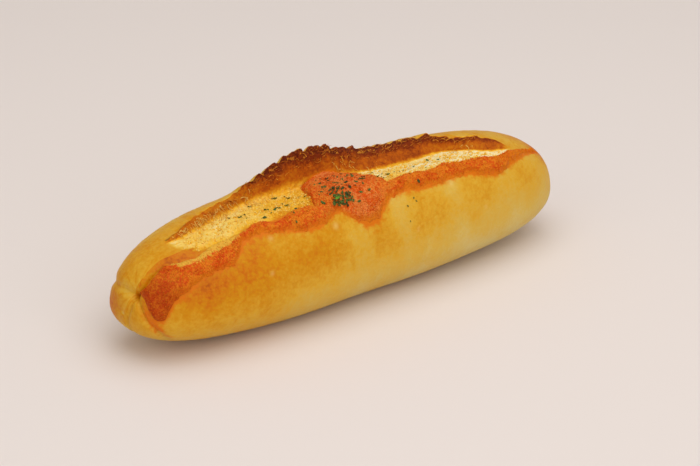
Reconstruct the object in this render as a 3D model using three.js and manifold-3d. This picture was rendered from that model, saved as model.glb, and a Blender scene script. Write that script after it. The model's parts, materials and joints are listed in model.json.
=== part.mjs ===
// A small baguette, slit along its top, with cod roe spread and parsley flakes.
// Millimetres, +Z up. The loaf lies along X with its slit side turned to -Y,
// and the origin is the middle of the flat that it stands on.

import * as THREE from 'three';
import { mergeVertices } from 'three/addons/utils/BufferGeometryUtils.js';
import Module from 'manifold-3d';

const wasm = await Module();
wasm.setup();

// Loaf body: a rounded bar with blunt ends
const LENGTH = 220;
const WIDTH = 58.5;
const HEIGHT = 53.5;
const WAIST = 0.386 * HEIGHT; // height of the widest line
const PLAN_POWERS = [3.12, 2.88]; // how blunt the ends are, seen from above
const CREST_POWERS = [3.29, 2.74]; // how blunt the ends are, seen from the side
const UNDERSIDE_POWER = 2.5; // how the underside lifts at the ends
const ROUND_TOP = 2.3; // roundness of the section above the waist
const ROUND_UNDER = 2.05; // and below it
const BASE_SINK = 1; // depth pressed flat by the tray
const FLAT_LIMIT = 0.97; // keeps the flat's edge off the bottom line where the ends lift
const BEND = 0.92; // sideways bow of the middle

// Slit: the lines that run along the loaf, as [x, y] or [x, size] pairs
const LIP_LINE = [[-106, -10], [-97, -10.8], [-88, -15.2], [-78, -15.4], [-67, -16], [-56, -15.6],
  [-44, -17], [-27, -16.5], [0, -15.9], [32, -16.4], [50, -15.8], [66, -16.4], [79, -14.7],
  [90, -12.4], [100, -9.4]];
const FOOT_LINE = [[-92, -1.5], [-80, -1], [-68, 1.5], [-56, 2.5], [-42, 6], [-14, 6],
  [10, 3.5], [30, 0], [54, 0], [66, -5], [74, -10], [83, -12]];
const RIM_LINE = [[-92, -1.2], [-82, 0.8], [-72, 4], [-60, 6.6], [-48, 8.2], [-30, 9.5],
  [0, 9.8], [40, 8], [50, 6.2], [57, 2.5], [64, -0.4], [72, -2.2], [79, -5.8], [83, -11]];
const SLIT_DEPTH = [[-92, 0], [-82, 2], [-68, 3.4], [-50, 4.4], [-20, 5], [20, 5.4],
  [54, 5], [66, 4], [76, 2.2], [85, 0]];
const EAR_HEIGHT = [[-60, 0], [-50, 0.6], [-42, 3], [-32, 5.8], [-24, 8.6], [-14, 10.2],
  [-6, 9.9], [2, 7.6], [12, 4.6], [22, 2.3], [36, 1.2], [50, 1], [62, 0]];
const LIP_DROP = 0.8; // the floor starts this much below the lip
const FLOOR_CURVE = 0.8; // below 1 the floor falls away early
const WALL_CURVE = 1.3; // above 1 the wall steepens towards its rim
const LINE_REACH = { lip: 0.64, foot: 0.55, rim: 0.5 }; // most that each takes of half the width
const LINE_SPACING = { lip: 0.06, foot: 0.04 }; // least angle from each to the next
const EAR_BACK = 0.45; // most of the angle from the rim to the crust behind it
const RIM_CHIPS = { height: 1.1, band: 0.55, waves: [[1.13, 1.1, 0.6], [0.71, 0.4, 0.5], [2.3, 2.2, 0.4]] };
const LUMPS = { height: 0.35, along: 15, across: 9 };
const RIPPLES = { height: 0.45, along: 1.7, across: 2.1 }; // of the torn floor

// Dough folds at the near end, as points that each crease passes through
const KNOT = [-108.3, -6.8, 30.1];
const CREASES = [
  { depth: 1.2, width: 2, path: [KNOT, [-108.2, -0.3, 30.8], [-107.3, 6.1, 29.8], [-102, 16, 28]] },
  { depth: 0.8, width: 1.2, path: [KNOT, [-109.8, -5, 23.6], [-109.4, -2.7, 16.3], [-104, -2, 8]] },
  { depth: 0.8, width: 1.4, path: [KNOT, [-108.1, -10.6, 25.8], [-107.1, -13, 21.1],
    [-104.1, -15.5, 17.1], [-101.4, -15.5, 13.6], [-96.8, -13.6, 9]] },
  { depth: 1.2, width: 1.3, path: [KNOT, [-104.9, -9.6, 34.5], [-102.7, -9.6, 37], [-97, -10.6, 40]] },
];
const CREASE_END = -90;
const FOLD_BULGE = { at: [-106, 12, 18], reach: 9, height: 1 };
const END_TUCK = { at: KNOT, reach: 5, height: -1.2 };

// Roe spread: its lower edge as [x, degrees round the section], and the pool in the middle
const ROE_LOWER_EDGE = [[-107, 128], [-106, 160], [-104.5, 176], [-102, 178], [-100, 172],
  [-97, 159], [-89, 153], [-84, 147], [-70, 144], [-62, 130], [-57, 128], [-50, 130],
  [-43, 133], [-36, 138], [-28, 139], [-22, 135], [-16, 131], [-10, 141], [-4, 149],
  [1, 147], [7, 138], [12, 132], [18, 132], [30, 135], [44, 133], [52, 134], [61, 138],
  [68, 141], [75, 137], [87, 129], [103, 121]];
const ROE_START = -107;
const ROE_END = 103;
const ROE_GAP = 0.55; // clearance between the bread and the spread
const POOL_LIFT = 0.55; // and what the pool bridges besides
const ROE_THICKNESS = 1.5; // this and the next are measured from the crust
const ROE_EDGE = 1.05;
const ROE_OVER_LIP = 0.06; // how far it reaches over the lip, of the floor
const POOL = { from: -25, to: 12, lean: 1.3, reach: 1.3, height: 1.9 };

// Parsley flakes
const FLAKE_LENGTH = 2.9;
const FLAKE_THICKNESS = 0.95;
const FLAKE_PROUD = 0.4; // of the thickness, what stands above the food
const FLAKE_BREADTH = 0.3; // half the breadth, of the length
const FLAKE_WAVE = 0.1;
const FLAKE_LIMIT = 0.55; // of the way from the lip to the roe's upper edge, for the heap
const GOLDEN_TURN = 2.4; // radians between one flake of a heap and the next
const PARSLEY_SEED = 7;
const POOL_FLAKES = { count: 22, x: -7, c: 4.25, spreadX: 12, spreadC: 0.62 };
const FLOOR_FLAKES = [
  { count: 11, from: -58, to: -27, low: 4.18, high: 4.92 },
  { count: 5, from: 16, to: 54, low: 4.3, high: 4.85 },
];
const BAND_FLAKES = { count: 5, from: -46, to: 34, low: 0.25, high: 0.6 };

// Faceting
const LOAF_ROWS = 94;
const CELLS = [2, 3, 3, 3, 6, 4, 4, 4, 3, 2]; // columns between the lines round the section
const SLIVER = 0.02; // edges shorter than this are closed up
const FRONT_CELLS = 5; // of the spread, below the lip
const FLOOR_CELLS = 5; // and beyond it

const clamp = (v, low, high) => Math.min(Math.max(v, low), high);
const mix = (a, b, t) => a + (b - a) * t;
const ease = (t) => t * t * (3 - 2 * t);
const radians = THREE.MathUtils.degToRad;

// A smooth curve through [x, value] pairs that never overshoots them
function curve(pairs) {
  const rise = pairs.slice(1).map(([x, v], i) => (v - pairs[i][1]) / (x - pairs[i][0]));
  const slope = pairs.map((_, i) => {
    const before = rise[i - 1] ?? 0;
    const after = rise[i] ?? 0;
    return before * after > 0 ? (2 * before * after) / (before + after) : 0;
  });
  return (at) => {
    const x = clamp(at, pairs[0][0], pairs.at(-1)[0]);
    const i = clamp(pairs.findIndex((p) => p[0] >= x) - 1, 0, pairs.length - 2);
    const h = pairs[i + 1][0] - pairs[i][0];
    const t = (x - pairs[i][0]) / h;
    return (1 + 2 * t) * (1 - t) ** 2 * pairs[i][1] + t * (1 - t) ** 2 * h * slope[i]
      + t * t * (3 - 2 * t) * pairs[i + 1][1] + t * t * (t - 1) * h * slope[i + 1];
  };
}

const lipY = curve(LIP_LINE);
const footY = curve(FOOT_LINE);
const rimY = curve(RIM_LINE);
const slitDepth = curve(SLIT_DEPTH);
const earHeight = curve(EAR_HEIGHT);
const roeLowerDegrees = curve(ROE_LOWER_EDGE);

// Size of the plain loaf at x
function body(x) {
  const s = Math.min(Math.abs(x) / (LENGTH / 2), 1);
  const half = (WIDTH / 2) * (1 - s ** PLAN_POWERS[0]) ** (1 / PLAN_POWERS[1]);
  const swell = 1 - s ** CREST_POWERS[0];
  return {
    half: Math.max(half, 1e-4),
    above: (HEIGHT - WAIST) * swell ** (1 / CREST_POWERS[1]),
    below: WAIST * swell ** (1 / UNDERSIDE_POWER) + (BASE_SINK * half * 2) / WIDTH,
    shift: -BEND * s * s,
  };
}

// Angle on the rounded section where it is y from the middle
function sectionAngle(y, half, limit) {
  const f = clamp(y / half, -limit, limit);
  return Math.acos(Math.sign(f) * Math.abs(f) ** (ROUND_TOP / 2));
}

// The lines round the section, as angles, from the middle of the base over the front,
// the lip, the slit's floor and wall and the back, to the base again
function sectionLines(x, { half, below }) {
  const lip = sectionAngle(lipY(x), half, LINE_REACH.lip);
  const foot = Math.min(sectionAngle(footY(x), half, LINE_REACH.foot), lip - LINE_SPACING.lip);
  const rim = Math.min(sectionAngle(rimY(x), half, LINE_REACH.rim), foot - LINE_SPACING.foot);
  const behind = rim - EAR_BACK * Math.min(rim, 1);
  const flat = Math.asin(Math.min((WAIST / below) ** (ROUND_UNDER / 2), FLAT_LIMIT));
  return [1.5 * Math.PI, Math.PI + flat, Math.PI, (Math.PI + lip) / 2, lip, foot, rim, behind,
    0, -flat, -0.5 * Math.PI];
}

// A point of the smooth surface: c counts the lines round the section, from 0 to 10
function surface(x, c) {
  const size = body(x);
  const lines = sectionLines(x, size);
  const k = clamp(Math.floor(c), 0, lines.length - 2);
  const f = c - k;
  const angle = mix(lines[k], lines[k + 1], f);
  const cos = Math.cos(angle);
  const sin = Math.sin(angle);
  const power = 2 / (sin >= 0 ? ROUND_TOP : ROUND_UNDER);
  const y = size.half * Math.sign(cos) * Math.abs(cos) ** power;
  let z = WAIST + (sin >= 0 ? size.above : -size.below) * Math.abs(sin) ** power;
  const depth = slitDepth(x);
  const drop = (LIP_DROP * depth) / 5;
  if (k === 4) z -= depth * ease(f) ** FLOOR_CURVE + drop * ease(Math.min(f * 4, 1));
  if (k === 5) {
    const up = f ** WALL_CURVE;
    z += earHeight(x) * up - depth * (1 - up) - drop * (1 - f);
  }
  if (k === 6) z += earHeight(x) * (1 - ease(f));
  return new THREE.Vector3(x, y + size.shift, Math.max(z, 0));
}

// The outward direction there, from two short steps along the surface
function outward(x, c) {
  const step = Math.min(0.2, (LENGTH / 2 - Math.abs(x)) / 2);
  const along = surface(x + step, c).sub(surface(x - step, c));
  const round = surface(x, (c + 10.02) % 10).sub(surface(x, (c + 9.98) % 10));
  return round.cross(along).normalize().negate();
}

function distanceToPath(point, path) {
  const near = new THREE.Vector3();
  return Math.min(...path.slice(1).map((end, i) => {
    const line = new THREE.Line3(new THREE.Vector3(...path[i]), new THREE.Vector3(...end));
    line.closestPointToPoint(point, true, near);
    return near.distanceTo(point);
  }));
}

const mound = (point, { at, reach, height }) =>
  height * Math.exp(-((point.distanceTo(new THREE.Vector3(...at)) / reach) ** 2));

// Depth of the dough's creases at a point
function creases(point) {
  if (point.x > CREASE_END) return 0;
  return CREASES.reduce((sum, { depth, width, path }) =>
    sum + depth * Math.exp(-((distanceToPath(point, path) / width) ** 2)), 0);
}

// How far the real crust stands off the smooth surface, creases apart
function relief(point, c) {
  const { x, y } = point;
  const inSlit = c > 4 && c < 5 ? Math.min(slitDepth(x) / 3, 1) * Math.sin(Math.PI * (c - 4)) : 0;
  return LUMPS.height * Math.sin(x / LUMPS.along + 1) * Math.cos((y + x / 3) / LUMPS.across)
    + RIPPLES.height * inSlit * Math.sin(x / RIPPLES.along + 1.4 * Math.sin(y / RIPPLES.across))
    + mound(point, FOLD_BULGE) + mound(point, END_TUCK);
}

// Chips along the top of the ear
function chips(x, c) {
  const near = Math.max(1 - Math.abs(c - 6) / RIM_CHIPS.band, 0);
  const burnt = Math.min(slitDepth(x) / 3, 1) * (0.35 + 0.065 * earHeight(x));
  return RIM_CHIPS.height * near * burnt * RIM_CHIPS.waves.reduce((sum, [length, start, share]) =>
    sum + share * Math.sin(x / length + start), 0);
}

// A point of the crust, raised by off millimetres. What is raised bridges the creases.
function crust(x, c, off = 0) {
  const point = surface(x, c);
  if (point.z <= 0) return point;
  const groove = off > 0 ? 0 : creases(point);
  point.addScaledVector(outward(x, c), relief(point, c) + off - groove);
  point.z = Math.max(point.z + chips(x, c), 0.02);
  return point;
}

function geometryFrom(points, triangles) {
  const geometry = new THREE.BufferGeometry().setFromPoints(points);
  geometry.setIndex(triangles.flat());
  return geometry;
}

// Each four points round a grid cell make two triangles
const cell = (a, b, c, d) => [[a, b, c], [a, c, d]];

// Where the rows of points lie along X, closer together at the ends
const rows = Array.from({ length: LOAF_ROWS - 1 }, (_, i) => {
  const u = (2 * (i + 1)) / LOAF_ROWS - 1;
  return (LENGTH / 2) * (1.25 * u - 0.25 * u ** 5);
});

// Loaf: rows of points round its sections, closed by a point at each end
function loafGeometry() {
  const columns = CELLS.flatMap((count, k) =>
    Array.from({ length: count }, (_, j) => k + j / count));
  const n = columns.length;
  const points = rows.flatMap((x) => columns.map((c) => crust(x, c)));
  const near = points.push(new THREE.Vector3(0.4 - LENGTH / 2, -BEND, WAIST)) - 1;
  const far = points.push(new THREE.Vector3(LENGTH / 2, -BEND, WAIST)) - 1;
  const triangles = [];
  for (let j = 0; j < n; j += 1) {
    const k = (j + 1) % n;
    const last = (rows.length - 1) * n;
    triangles.push([near, j, k], [far, last + k, last + j]);
    for (let i = 0; i < rows.length - 1; i += 1) {
      const row = i * n;
      triangles.push(...cell(row + j, row + n + j, row + n + k, row + k));
    }
  }
  return geometryFrom(points, triangles);
}

// Where the roe's edges run, as counts of the section's lines
function roeEdges(x) {
  const lines = sectionLines(x, body(x));
  const angle = radians(roeLowerDegrees(x));
  const k = angle > lines[3] ? 2 : 3;
  const low = k + (lines[k] - angle) / (lines[k] - lines[k + 1]);
  const u = clamp((x - POOL.from) / (POOL.to - POOL.from), 0, 1) ** POOL.lean;
  const across = 4 * u * (1 - u);
  const high = 4 + ROE_OVER_LIP + POOL.reach * across ** 0.7 + 0.04 * Math.sin(x / 3.1);
  return { low, high, across };
}

// Thickness of the roe at a line of the section, thin at its edges and deep in the pool
function roeThickness(x, c) {
  const { low, high, across } = roeEdges(x);
  const r = clamp((c - low) / (high - low), 0, 1);
  const taper = Math.min((x - ROE_START) / 4, (ROE_END - x) / 6, 1);
  const swell = (1 - Math.abs(2 * r - 1) ** 3) * taper;
  const pool = POOL.height * across * Math.sin(Math.PI * clamp(r * 1.15 - 0.15, 0, 1));
  return ROE_EDGE + (ROE_THICKNESS - ROE_EDGE) * swell + pool
    + 0.2 * swell * Math.sin(x / 1.9 + 5 * r);
}

// Roe spread: an upper and a lower sheet over the crust, joined round their outline.
// Its cells run from the lower edge to the lip, then on over the floor of the slit.
function roeGeometry() {
  const along = [ROE_START, ...rows.filter((x) => x > ROE_START + 0.5 && x < ROE_END - 0.5), ROE_END];
  const width = FRONT_CELLS + FLOOR_CELLS;
  const n = width + 1;
  const points = along.flatMap((x) => {
    const { low, high, across } = roeEdges(x);
    return Array.from({ length: n }, (_, j) => {
      const c = j <= FRONT_CELLS ? mix(low, 4, j / FRONT_CELLS)
        : mix(4, high, (j - FRONT_CELLS) / FLOOR_CELLS);
      return [crust(x, c, ROE_GAP + POOL_LIFT * Math.sqrt(across)), crust(x, c, roeThickness(x, c))];
    }).flat();
  });
  const at = (i, j, side) => 2 * (i * n + j) + side;
  const end = along.length - 1;
  const triangles = [];
  for (let i = 0; i < end; i += 1) {
    for (let j = 0; j < width; j += 1) {
      triangles.push(...cell(at(i, j, 1), at(i + 1, j, 1), at(i + 1, j + 1, 1), at(i, j + 1, 1)));
      triangles.push(...cell(at(i, j, 0), at(i, j + 1, 0), at(i + 1, j + 1, 0), at(i + 1, j, 0)));
    }
    triangles.push(...cell(at(i, 0, 0), at(i + 1, 0, 0), at(i + 1, 0, 1), at(i, 0, 1)));
    triangles.push(...cell(at(i, width, 0), at(i, width, 1), at(i + 1, width, 1), at(i + 1, width, 0)));
  }
  for (let j = 0; j < width; j += 1) {
    triangles.push(...cell(at(0, j, 0), at(0, j, 1), at(0, j + 1, 1), at(0, j + 1, 0)));
    triangles.push(...cell(at(end, j, 0), at(end, j + 1, 0), at(end, j + 1, 1), at(end, j, 1)));
  }
  return geometryFrom(points, triangles);
}

// A repeatable draw between 0 and 1
function drawFrom(seed) {
  let state = seed;
  return () => {
    state = (state * 16807) % 2147483647;
    return state / 2147483647;
  };
}

// Parsley flake: a wavy six-sided leaf lying on the surface with part of it sunk in
function flakeGeometry(at, up, draw) {
  const turn = 2 * Math.PI * draw();
  const length = FLAKE_LENGTH * (0.6 + 0.4 * draw());
  const side = new THREE.Vector3(Math.cos(turn), Math.sin(turn), 0).cross(up).normalize();
  const front = up.clone().cross(side);
  const place = (u, v, w) => at.clone().addScaledVector(side, u).addScaledVector(front, v)
    .addScaledVector(up, w);
  const points = [];
  for (const lift of [FLAKE_PROUD - FLAKE_THICKNESS, FLAKE_PROUD]) {
    for (let k = 0; k < 6; k += 1) {
      const t = radians(60 * k);
      points.push(place((length / 2) * Math.cos(t), length * FLAKE_BREADTH * Math.sin(t),
        lift + FLAKE_WAVE * Math.cos(2 * t)));
    }
    points.push(place(0, 0, lift));
  }
  const triangles = [];
  for (let k = 0; k < 6; k += 1) {
    const m = (k + 1) % 6;
    triangles.push([6, m, k], [13, k + 7, m + 7], ...cell(k, m, m + 7, k + 7));
  }
  return geometryFrom(points, triangles);
}

// Flakes strewn on the bare floor of the slit
function breadFlakes() {
  const draw = drawFrom(PARSLEY_SEED);
  return FLOOR_FLAKES.flatMap(({ count, from, to, low, high }) =>
    Array.from({ length: count }, (_, i) => {
      const x = mix(from, to, (i + 0.2 + 0.6 * draw()) / count);
      const c = mix(low, high, draw());
      return flakeGeometry(crust(x, c), outward(x, c), draw);
    }));
}

// Flakes heaped on the pool of roe, and a few along the band
function roeFlakes() {
  const draw = drawFrom(PARSLEY_SEED + 4);
  const lay = (x, atC) => {
    const { high } = roeEdges(x);
    const c = Math.min(atC, mix(4, high, FLAKE_LIMIT));
    return flakeGeometry(crust(x, c, roeThickness(x, c)), outward(x, c), draw);
  };
  const heap = Array.from({ length: POOL_FLAKES.count }, (_, i) => {
    const turn = i * GOLDEN_TURN;
    const out = Math.sqrt((i + 0.5) / POOL_FLAKES.count);
    return lay(POOL_FLAKES.x + POOL_FLAKES.spreadX * out * Math.cos(turn),
      POOL_FLAKES.c + POOL_FLAKES.spreadC * out * Math.sin(turn));
  });
  const band = Array.from({ length: BAND_FLAKES.count }, (_, i) => {
    const x = mix(BAND_FLAKES.from, BAND_FLAKES.to, (i + 0.5) / BAND_FLAKES.count);
    const { low, high } = roeEdges(x);
    return lay(x, mix(low, high, mix(BAND_FLAKES.low, BAND_FLAKES.high, draw())));
  });
  return [...heap, ...band];
}

function solidFrom(geometry) {
  const merged = mergeVertices(geometry, 1e-5);
  return new wasm.Manifold(new wasm.Mesh({
    numProp: 3,
    vertProperties: new Float32Array(merged.getAttribute('position').array),
    triVerts: new Uint32Array(merged.getIndex().array),
  }));
}

// The food with its flakes fused to it, as one solid
function fuse(food, flakes) {
  return flakes.reduce((whole, flake) => whole.add(solidFrom(flake)), solidFrom(food));
}

function geometryOf(solid) {
  const { vertProperties, triVerts } = solid.simplify(SLIVER).getMesh();
  const geometry = new THREE.BufferGeometry();
  geometry.setAttribute('position', new THREE.BufferAttribute(new Float32Array(vertProperties), 3));
  geometry.setIndex([...triVerts]);
  geometry.computeVertexNormals();
  return geometry;
}

function named(name, geometry, colour, roughness) {
  const material = new THREE.MeshStandardMaterial({ color: colour, roughness, metalness: 0 });
  const mesh = new THREE.Mesh(geometry, material);
  mesh.name = name;
  return mesh;
}

const loaf = fuse(loafGeometry(), breadFlakes());
const roeSpread = fuse(roeGeometry(), roeFlakes());

const baguette = new THREE.Group();
baguette.add(
  named('loaf', geometryOf(loaf), '#d9a23f', 0.6),
  named('roe_spread', geometryOf(roeSpread), '#dd6a35', 0.7),
);

export default baguette;
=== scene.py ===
"""A small baguette, slit along its top, with cod roe spread and parsley flakes.

Sizes in the forms below are millimetres, in the frame of the CAD model: +X along the loaf,
the slit side turned to -Y, +Z up. Meshes are made in metres.
"""

import json
import math

import bpy
import numpy as np
from bpy.props import (
    FloatProperty,
    FloatVectorProperty,
    IntProperty,
    PointerProperty,
)
from mathutils import Vector
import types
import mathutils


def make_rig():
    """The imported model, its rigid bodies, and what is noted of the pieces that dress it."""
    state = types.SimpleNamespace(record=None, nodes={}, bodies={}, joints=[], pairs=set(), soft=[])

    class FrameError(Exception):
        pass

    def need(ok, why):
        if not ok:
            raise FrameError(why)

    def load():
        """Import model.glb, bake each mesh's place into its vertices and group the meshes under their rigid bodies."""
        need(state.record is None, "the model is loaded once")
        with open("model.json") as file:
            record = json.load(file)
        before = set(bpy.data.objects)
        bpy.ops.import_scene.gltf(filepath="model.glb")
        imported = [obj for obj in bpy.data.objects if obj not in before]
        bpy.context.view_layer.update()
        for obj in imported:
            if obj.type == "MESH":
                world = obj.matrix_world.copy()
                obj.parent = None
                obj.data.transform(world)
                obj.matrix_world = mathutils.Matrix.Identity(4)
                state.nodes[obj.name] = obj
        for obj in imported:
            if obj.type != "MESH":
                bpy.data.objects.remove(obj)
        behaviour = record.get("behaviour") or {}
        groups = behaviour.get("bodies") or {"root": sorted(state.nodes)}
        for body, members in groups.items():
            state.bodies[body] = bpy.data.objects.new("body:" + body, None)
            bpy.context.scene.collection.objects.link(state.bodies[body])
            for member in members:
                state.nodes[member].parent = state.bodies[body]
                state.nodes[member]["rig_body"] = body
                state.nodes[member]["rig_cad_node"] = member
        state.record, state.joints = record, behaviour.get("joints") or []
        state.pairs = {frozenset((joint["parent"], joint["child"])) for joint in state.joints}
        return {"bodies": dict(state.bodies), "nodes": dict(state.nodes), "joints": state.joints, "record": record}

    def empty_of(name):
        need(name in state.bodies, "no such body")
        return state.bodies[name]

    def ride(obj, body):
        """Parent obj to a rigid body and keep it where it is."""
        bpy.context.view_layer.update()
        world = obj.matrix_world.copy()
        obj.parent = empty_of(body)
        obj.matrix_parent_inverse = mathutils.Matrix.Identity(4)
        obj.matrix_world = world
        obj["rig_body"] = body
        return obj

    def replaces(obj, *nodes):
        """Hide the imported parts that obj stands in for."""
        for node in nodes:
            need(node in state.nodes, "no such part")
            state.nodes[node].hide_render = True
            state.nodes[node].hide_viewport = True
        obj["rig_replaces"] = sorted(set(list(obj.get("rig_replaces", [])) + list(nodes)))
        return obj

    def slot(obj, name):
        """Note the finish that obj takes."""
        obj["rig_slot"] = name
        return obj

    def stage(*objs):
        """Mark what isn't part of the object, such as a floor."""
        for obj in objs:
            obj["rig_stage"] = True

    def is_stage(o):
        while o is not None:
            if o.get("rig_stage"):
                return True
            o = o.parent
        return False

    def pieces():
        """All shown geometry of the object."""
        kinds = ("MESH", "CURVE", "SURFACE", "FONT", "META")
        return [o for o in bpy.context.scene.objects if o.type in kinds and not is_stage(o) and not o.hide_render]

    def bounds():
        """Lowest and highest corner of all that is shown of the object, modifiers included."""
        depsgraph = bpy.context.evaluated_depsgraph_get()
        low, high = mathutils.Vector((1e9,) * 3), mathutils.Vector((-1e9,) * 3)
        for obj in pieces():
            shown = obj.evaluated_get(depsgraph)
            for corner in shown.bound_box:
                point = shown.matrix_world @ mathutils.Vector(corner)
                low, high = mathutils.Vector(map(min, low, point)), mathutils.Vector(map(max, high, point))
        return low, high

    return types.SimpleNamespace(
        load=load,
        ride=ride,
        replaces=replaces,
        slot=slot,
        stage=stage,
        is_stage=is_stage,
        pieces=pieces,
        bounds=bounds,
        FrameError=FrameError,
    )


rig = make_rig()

bl_info = {
    "name": "Baguette with Roe Spread",
    "version": (1, 0, 0),
    "blender": (4, 5, 0),
    "location": "3D View > Sidebar > Baguette",
    "description": "Builds a slit baguette with cod roe spread and parsley flakes",
    "category": "Add Mesh",
}

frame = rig.load()
CAD_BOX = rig.bounds()
MM = 0.001

# Loaf body, as in the CAD model
WAIST_SHARE = 0.386  # height of the widest line, of the whole
PLAN_POWERS = (3.12, 2.88)  # how blunt the ends are, seen from above
CREST_POWERS = (3.29, 2.74)  # how blunt the ends are, seen from the side
UNDERSIDE_POWER = 2.5
ROUND_TOP = 2.3
ROUND_UNDER = 2.05
BASE_SINK = 1.0
FLAT_LIMIT = 0.97
BEND = 0.92

# The slit's lines along the loaf, as (x, y) or (x, size) pairs
LIP_LINE = ((-106, -10), (-97, -10.8), (-88, -15.2), (-78, -15.4), (-67, -16), (-56, -15.6),
            (-44, -17), (-27, -16.5), (0, -15.9), (32, -16.4), (50, -15.8), (66, -16.4),
            (79, -14.7), (90, -12.4), (100, -9.4))
FOOT_LINE = ((-92, -1.5), (-80, -1), (-68, 1.5), (-56, 2.5), (-42, 6), (-14, 6), (10, 3.5),
             (30, 0), (54, 0), (66, -5), (74, -10), (83, -12))
RIM_LINE = ((-92, -1.2), (-82, 0.8), (-72, 4), (-60, 6.6), (-48, 8.2), (-30, 9.5), (0, 9.8),
            (40, 8), (50, 6.2), (57, 2.5), (64, -0.4), (72, -2.2), (79, -5.8), (83, -11))
SLIT_DEPTH = ((-92, 0), (-82, 2), (-68, 3.4), (-50, 4.4), (-20, 5), (20, 5.4), (54, 5),
              (66, 4), (76, 2.2), (85, 0))
EAR_HEIGHT = ((-60, 0), (-50, 0.6), (-42, 3), (-32, 5.8), (-24, 8.6), (-14, 10.2), (-6, 9.9),
              (2, 7.6), (12, 4.6), (22, 2.3), (36, 1.2), (50, 1), (62, 0))
LIP_DROP = 0.8
FLOOR_CURVE = 0.8
WALL_CURVE = 1.3
LINE_REACH = {"lip": 0.64, "foot": 0.55, "rim": 0.5}
LINE_SPACING = {"lip": 0.06, "foot": 0.04}
EAR_BACK = 0.45
RIM_CHIPS = {"height": 1.1, "band": 0.55}
RIM_WAVES = ((1.13, 1.1, 0.6), (0.71, 0.4, 0.5), (2.3, 2.2, 0.4))
LUMPS = {"height": 0.35, "along": 15, "across": 9}
RIPPLES = {"height": 0.45, "along": 1.7, "across": 2.1}

# Dough folds at the near end
KNOT = (-108.3, -6.8, 30.1)
CREASES = (
    {"depth": 1.2, "width": 2,
     "path": (KNOT, (-108.2, -0.3, 30.8), (-107.3, 6.1, 29.8), (-102, 16, 28))},
    {"depth": 0.8, "width": 1.2,
     "path": (KNOT, (-109.8, -5, 23.6), (-109.4, -2.7, 16.3), (-104, -2, 8))},
    {"depth": 0.8, "width": 1.4,
     "path": (KNOT, (-108.1, -10.6, 25.8), (-107.1, -13, 21.1), (-104.1, -15.5, 17.1),
              (-101.4, -15.5, 13.6), (-96.8, -13.6, 9))},
    {"depth": 1.2, "width": 1.3,
     "path": (KNOT, (-104.9, -9.6, 34.5), (-102.7, -9.6, 37), (-97, -10.6, 40))},
)
CREASE_LINE = {"depth": 0.55, "width": 0.5}  # the sharp line along its bottom
CREASE_END = -90
FOLD_BULGE = {"at": (-106, 12, 18), "reach": 9, "height": 1}
END_TUCK = {"at": KNOT, "reach": 5, "height": -1.2}
# Fine wrinkles, drawn only as painted shade lines in the crust's colour
WRINKLES = {"count": 7, "darker": 0.14}

# Roe spread
ROE_LOWER_EDGE = ((-107, 128), (-106, 160), (-104.5, 176), (-102, 178), (-100, 172), (-97, 159),
                  (-89, 153), (-84, 147), (-70, 144), (-62, 130), (-57, 128), (-50, 130),
                  (-43, 133), (-36, 138), (-28, 139), (-22, 135), (-16, 131), (-10, 141),
                  (-4, 149), (1, 147), (7, 138), (12, 132), (18, 132), (30, 135), (44, 133),
                  (52, 134), (61, 138), (68, 141), (75, 137), (87, 129), (103, 121))
ROE_SOAKED = ((-106, 4.3), (-97, 4.1), (-87, 3.8), (-76, 3.78), (-66, 3.9), (-58, 4.06),
              (-50, 4.2), (-42, 5), (-36, 6))  # where it thins to a film, by the slit's left part
ROE_START = -107
ROE_END = 103
ROE_EDGE = 1.05
ROE_OVER_LIP = 0.06  # how far it reaches over the lip, of the floor
ROE_SINK = -0.35  # its underside lies this far in the crust
ROE_FRONT_SPAN = 12.6  # millimetres to a count of the section's lines, below the lip
ROE_FLOOR_SPAN = 18  # and beyond it
ROE_RADIUS = 26  # millimetres to a radian of the section, at its lower edge
POOL = {"from": -25, "to": 12, "lean": 1.3, "reach": 1.3, "height": 1.9}

# Parsley, as in the CAD model
GOLDEN_TURN = 2.4
FLAKE_LIMIT = 0.55  # of the way from the lip to the roe's upper edge, for the heap
POOL_FLAKES = {"count": 22, "x": -7, "c": 4.25, "spread_x": 12, "spread_c": 0.62}
FLOOR_FLAKES = (
    {"count": 11, "from": -58, "to": -27, "low": 4.18, "high": 4.92},
    {"count": 5, "from": 16, "to": 54, "low": 4.3, "high": 4.85},
)
HEAP = {"count": 28, "x": -12.6, "c": 3.93, "reach": 4.8, "lift": 0.7}  # leaves in a pile
FRONT_BITS = {"count": 6, "from": -2, "to": 24, "low": 2.7, "high": 3.35}
LEAF_TILT = 0.7  # how unevenly the leaves lie
LEAF_LIFT = {"bread": 0.35, "roe": 0.3, "bit_on_bread": 0.3, "bit_on_roe": 0.2, "front": 0.25}
BAND_FLAKES = {"count": 5, "from": -46, "to": 34, "low": 0.25, "high": 0.6}

# Width of the burnt band below the ear's rim, how dark it is, and the width of the one behind it
CHAR_BAND = ((-92, 0.5), (-76, 1.4), (-60, 2.2), (-46, 3.2), (-34, 4.6), (-22, 5.8), (-8, 5.6),
             (4, 4.2), (20, 3.2), (44, 2.0), (58, 1.7), (70, 1.3), (84, 0.5))
CHAR_STRENGTH = ((-84, 0.25), (-60, 0.12), (-42, 0.5), (-30, 1), (24, 1), (48, 0.85), (62, 0.6),
                 (82, 0.4))
CHAR_BEHIND = 0.8
TORN_FROM = -77  # where the open crumb starts, at the lip
TORN_SLANT = 13  # and how much sooner at the foot of the wall
RIM_SPIKE = {"at": 51.6, "reach": 1.3, "height": 1.5}

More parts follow.
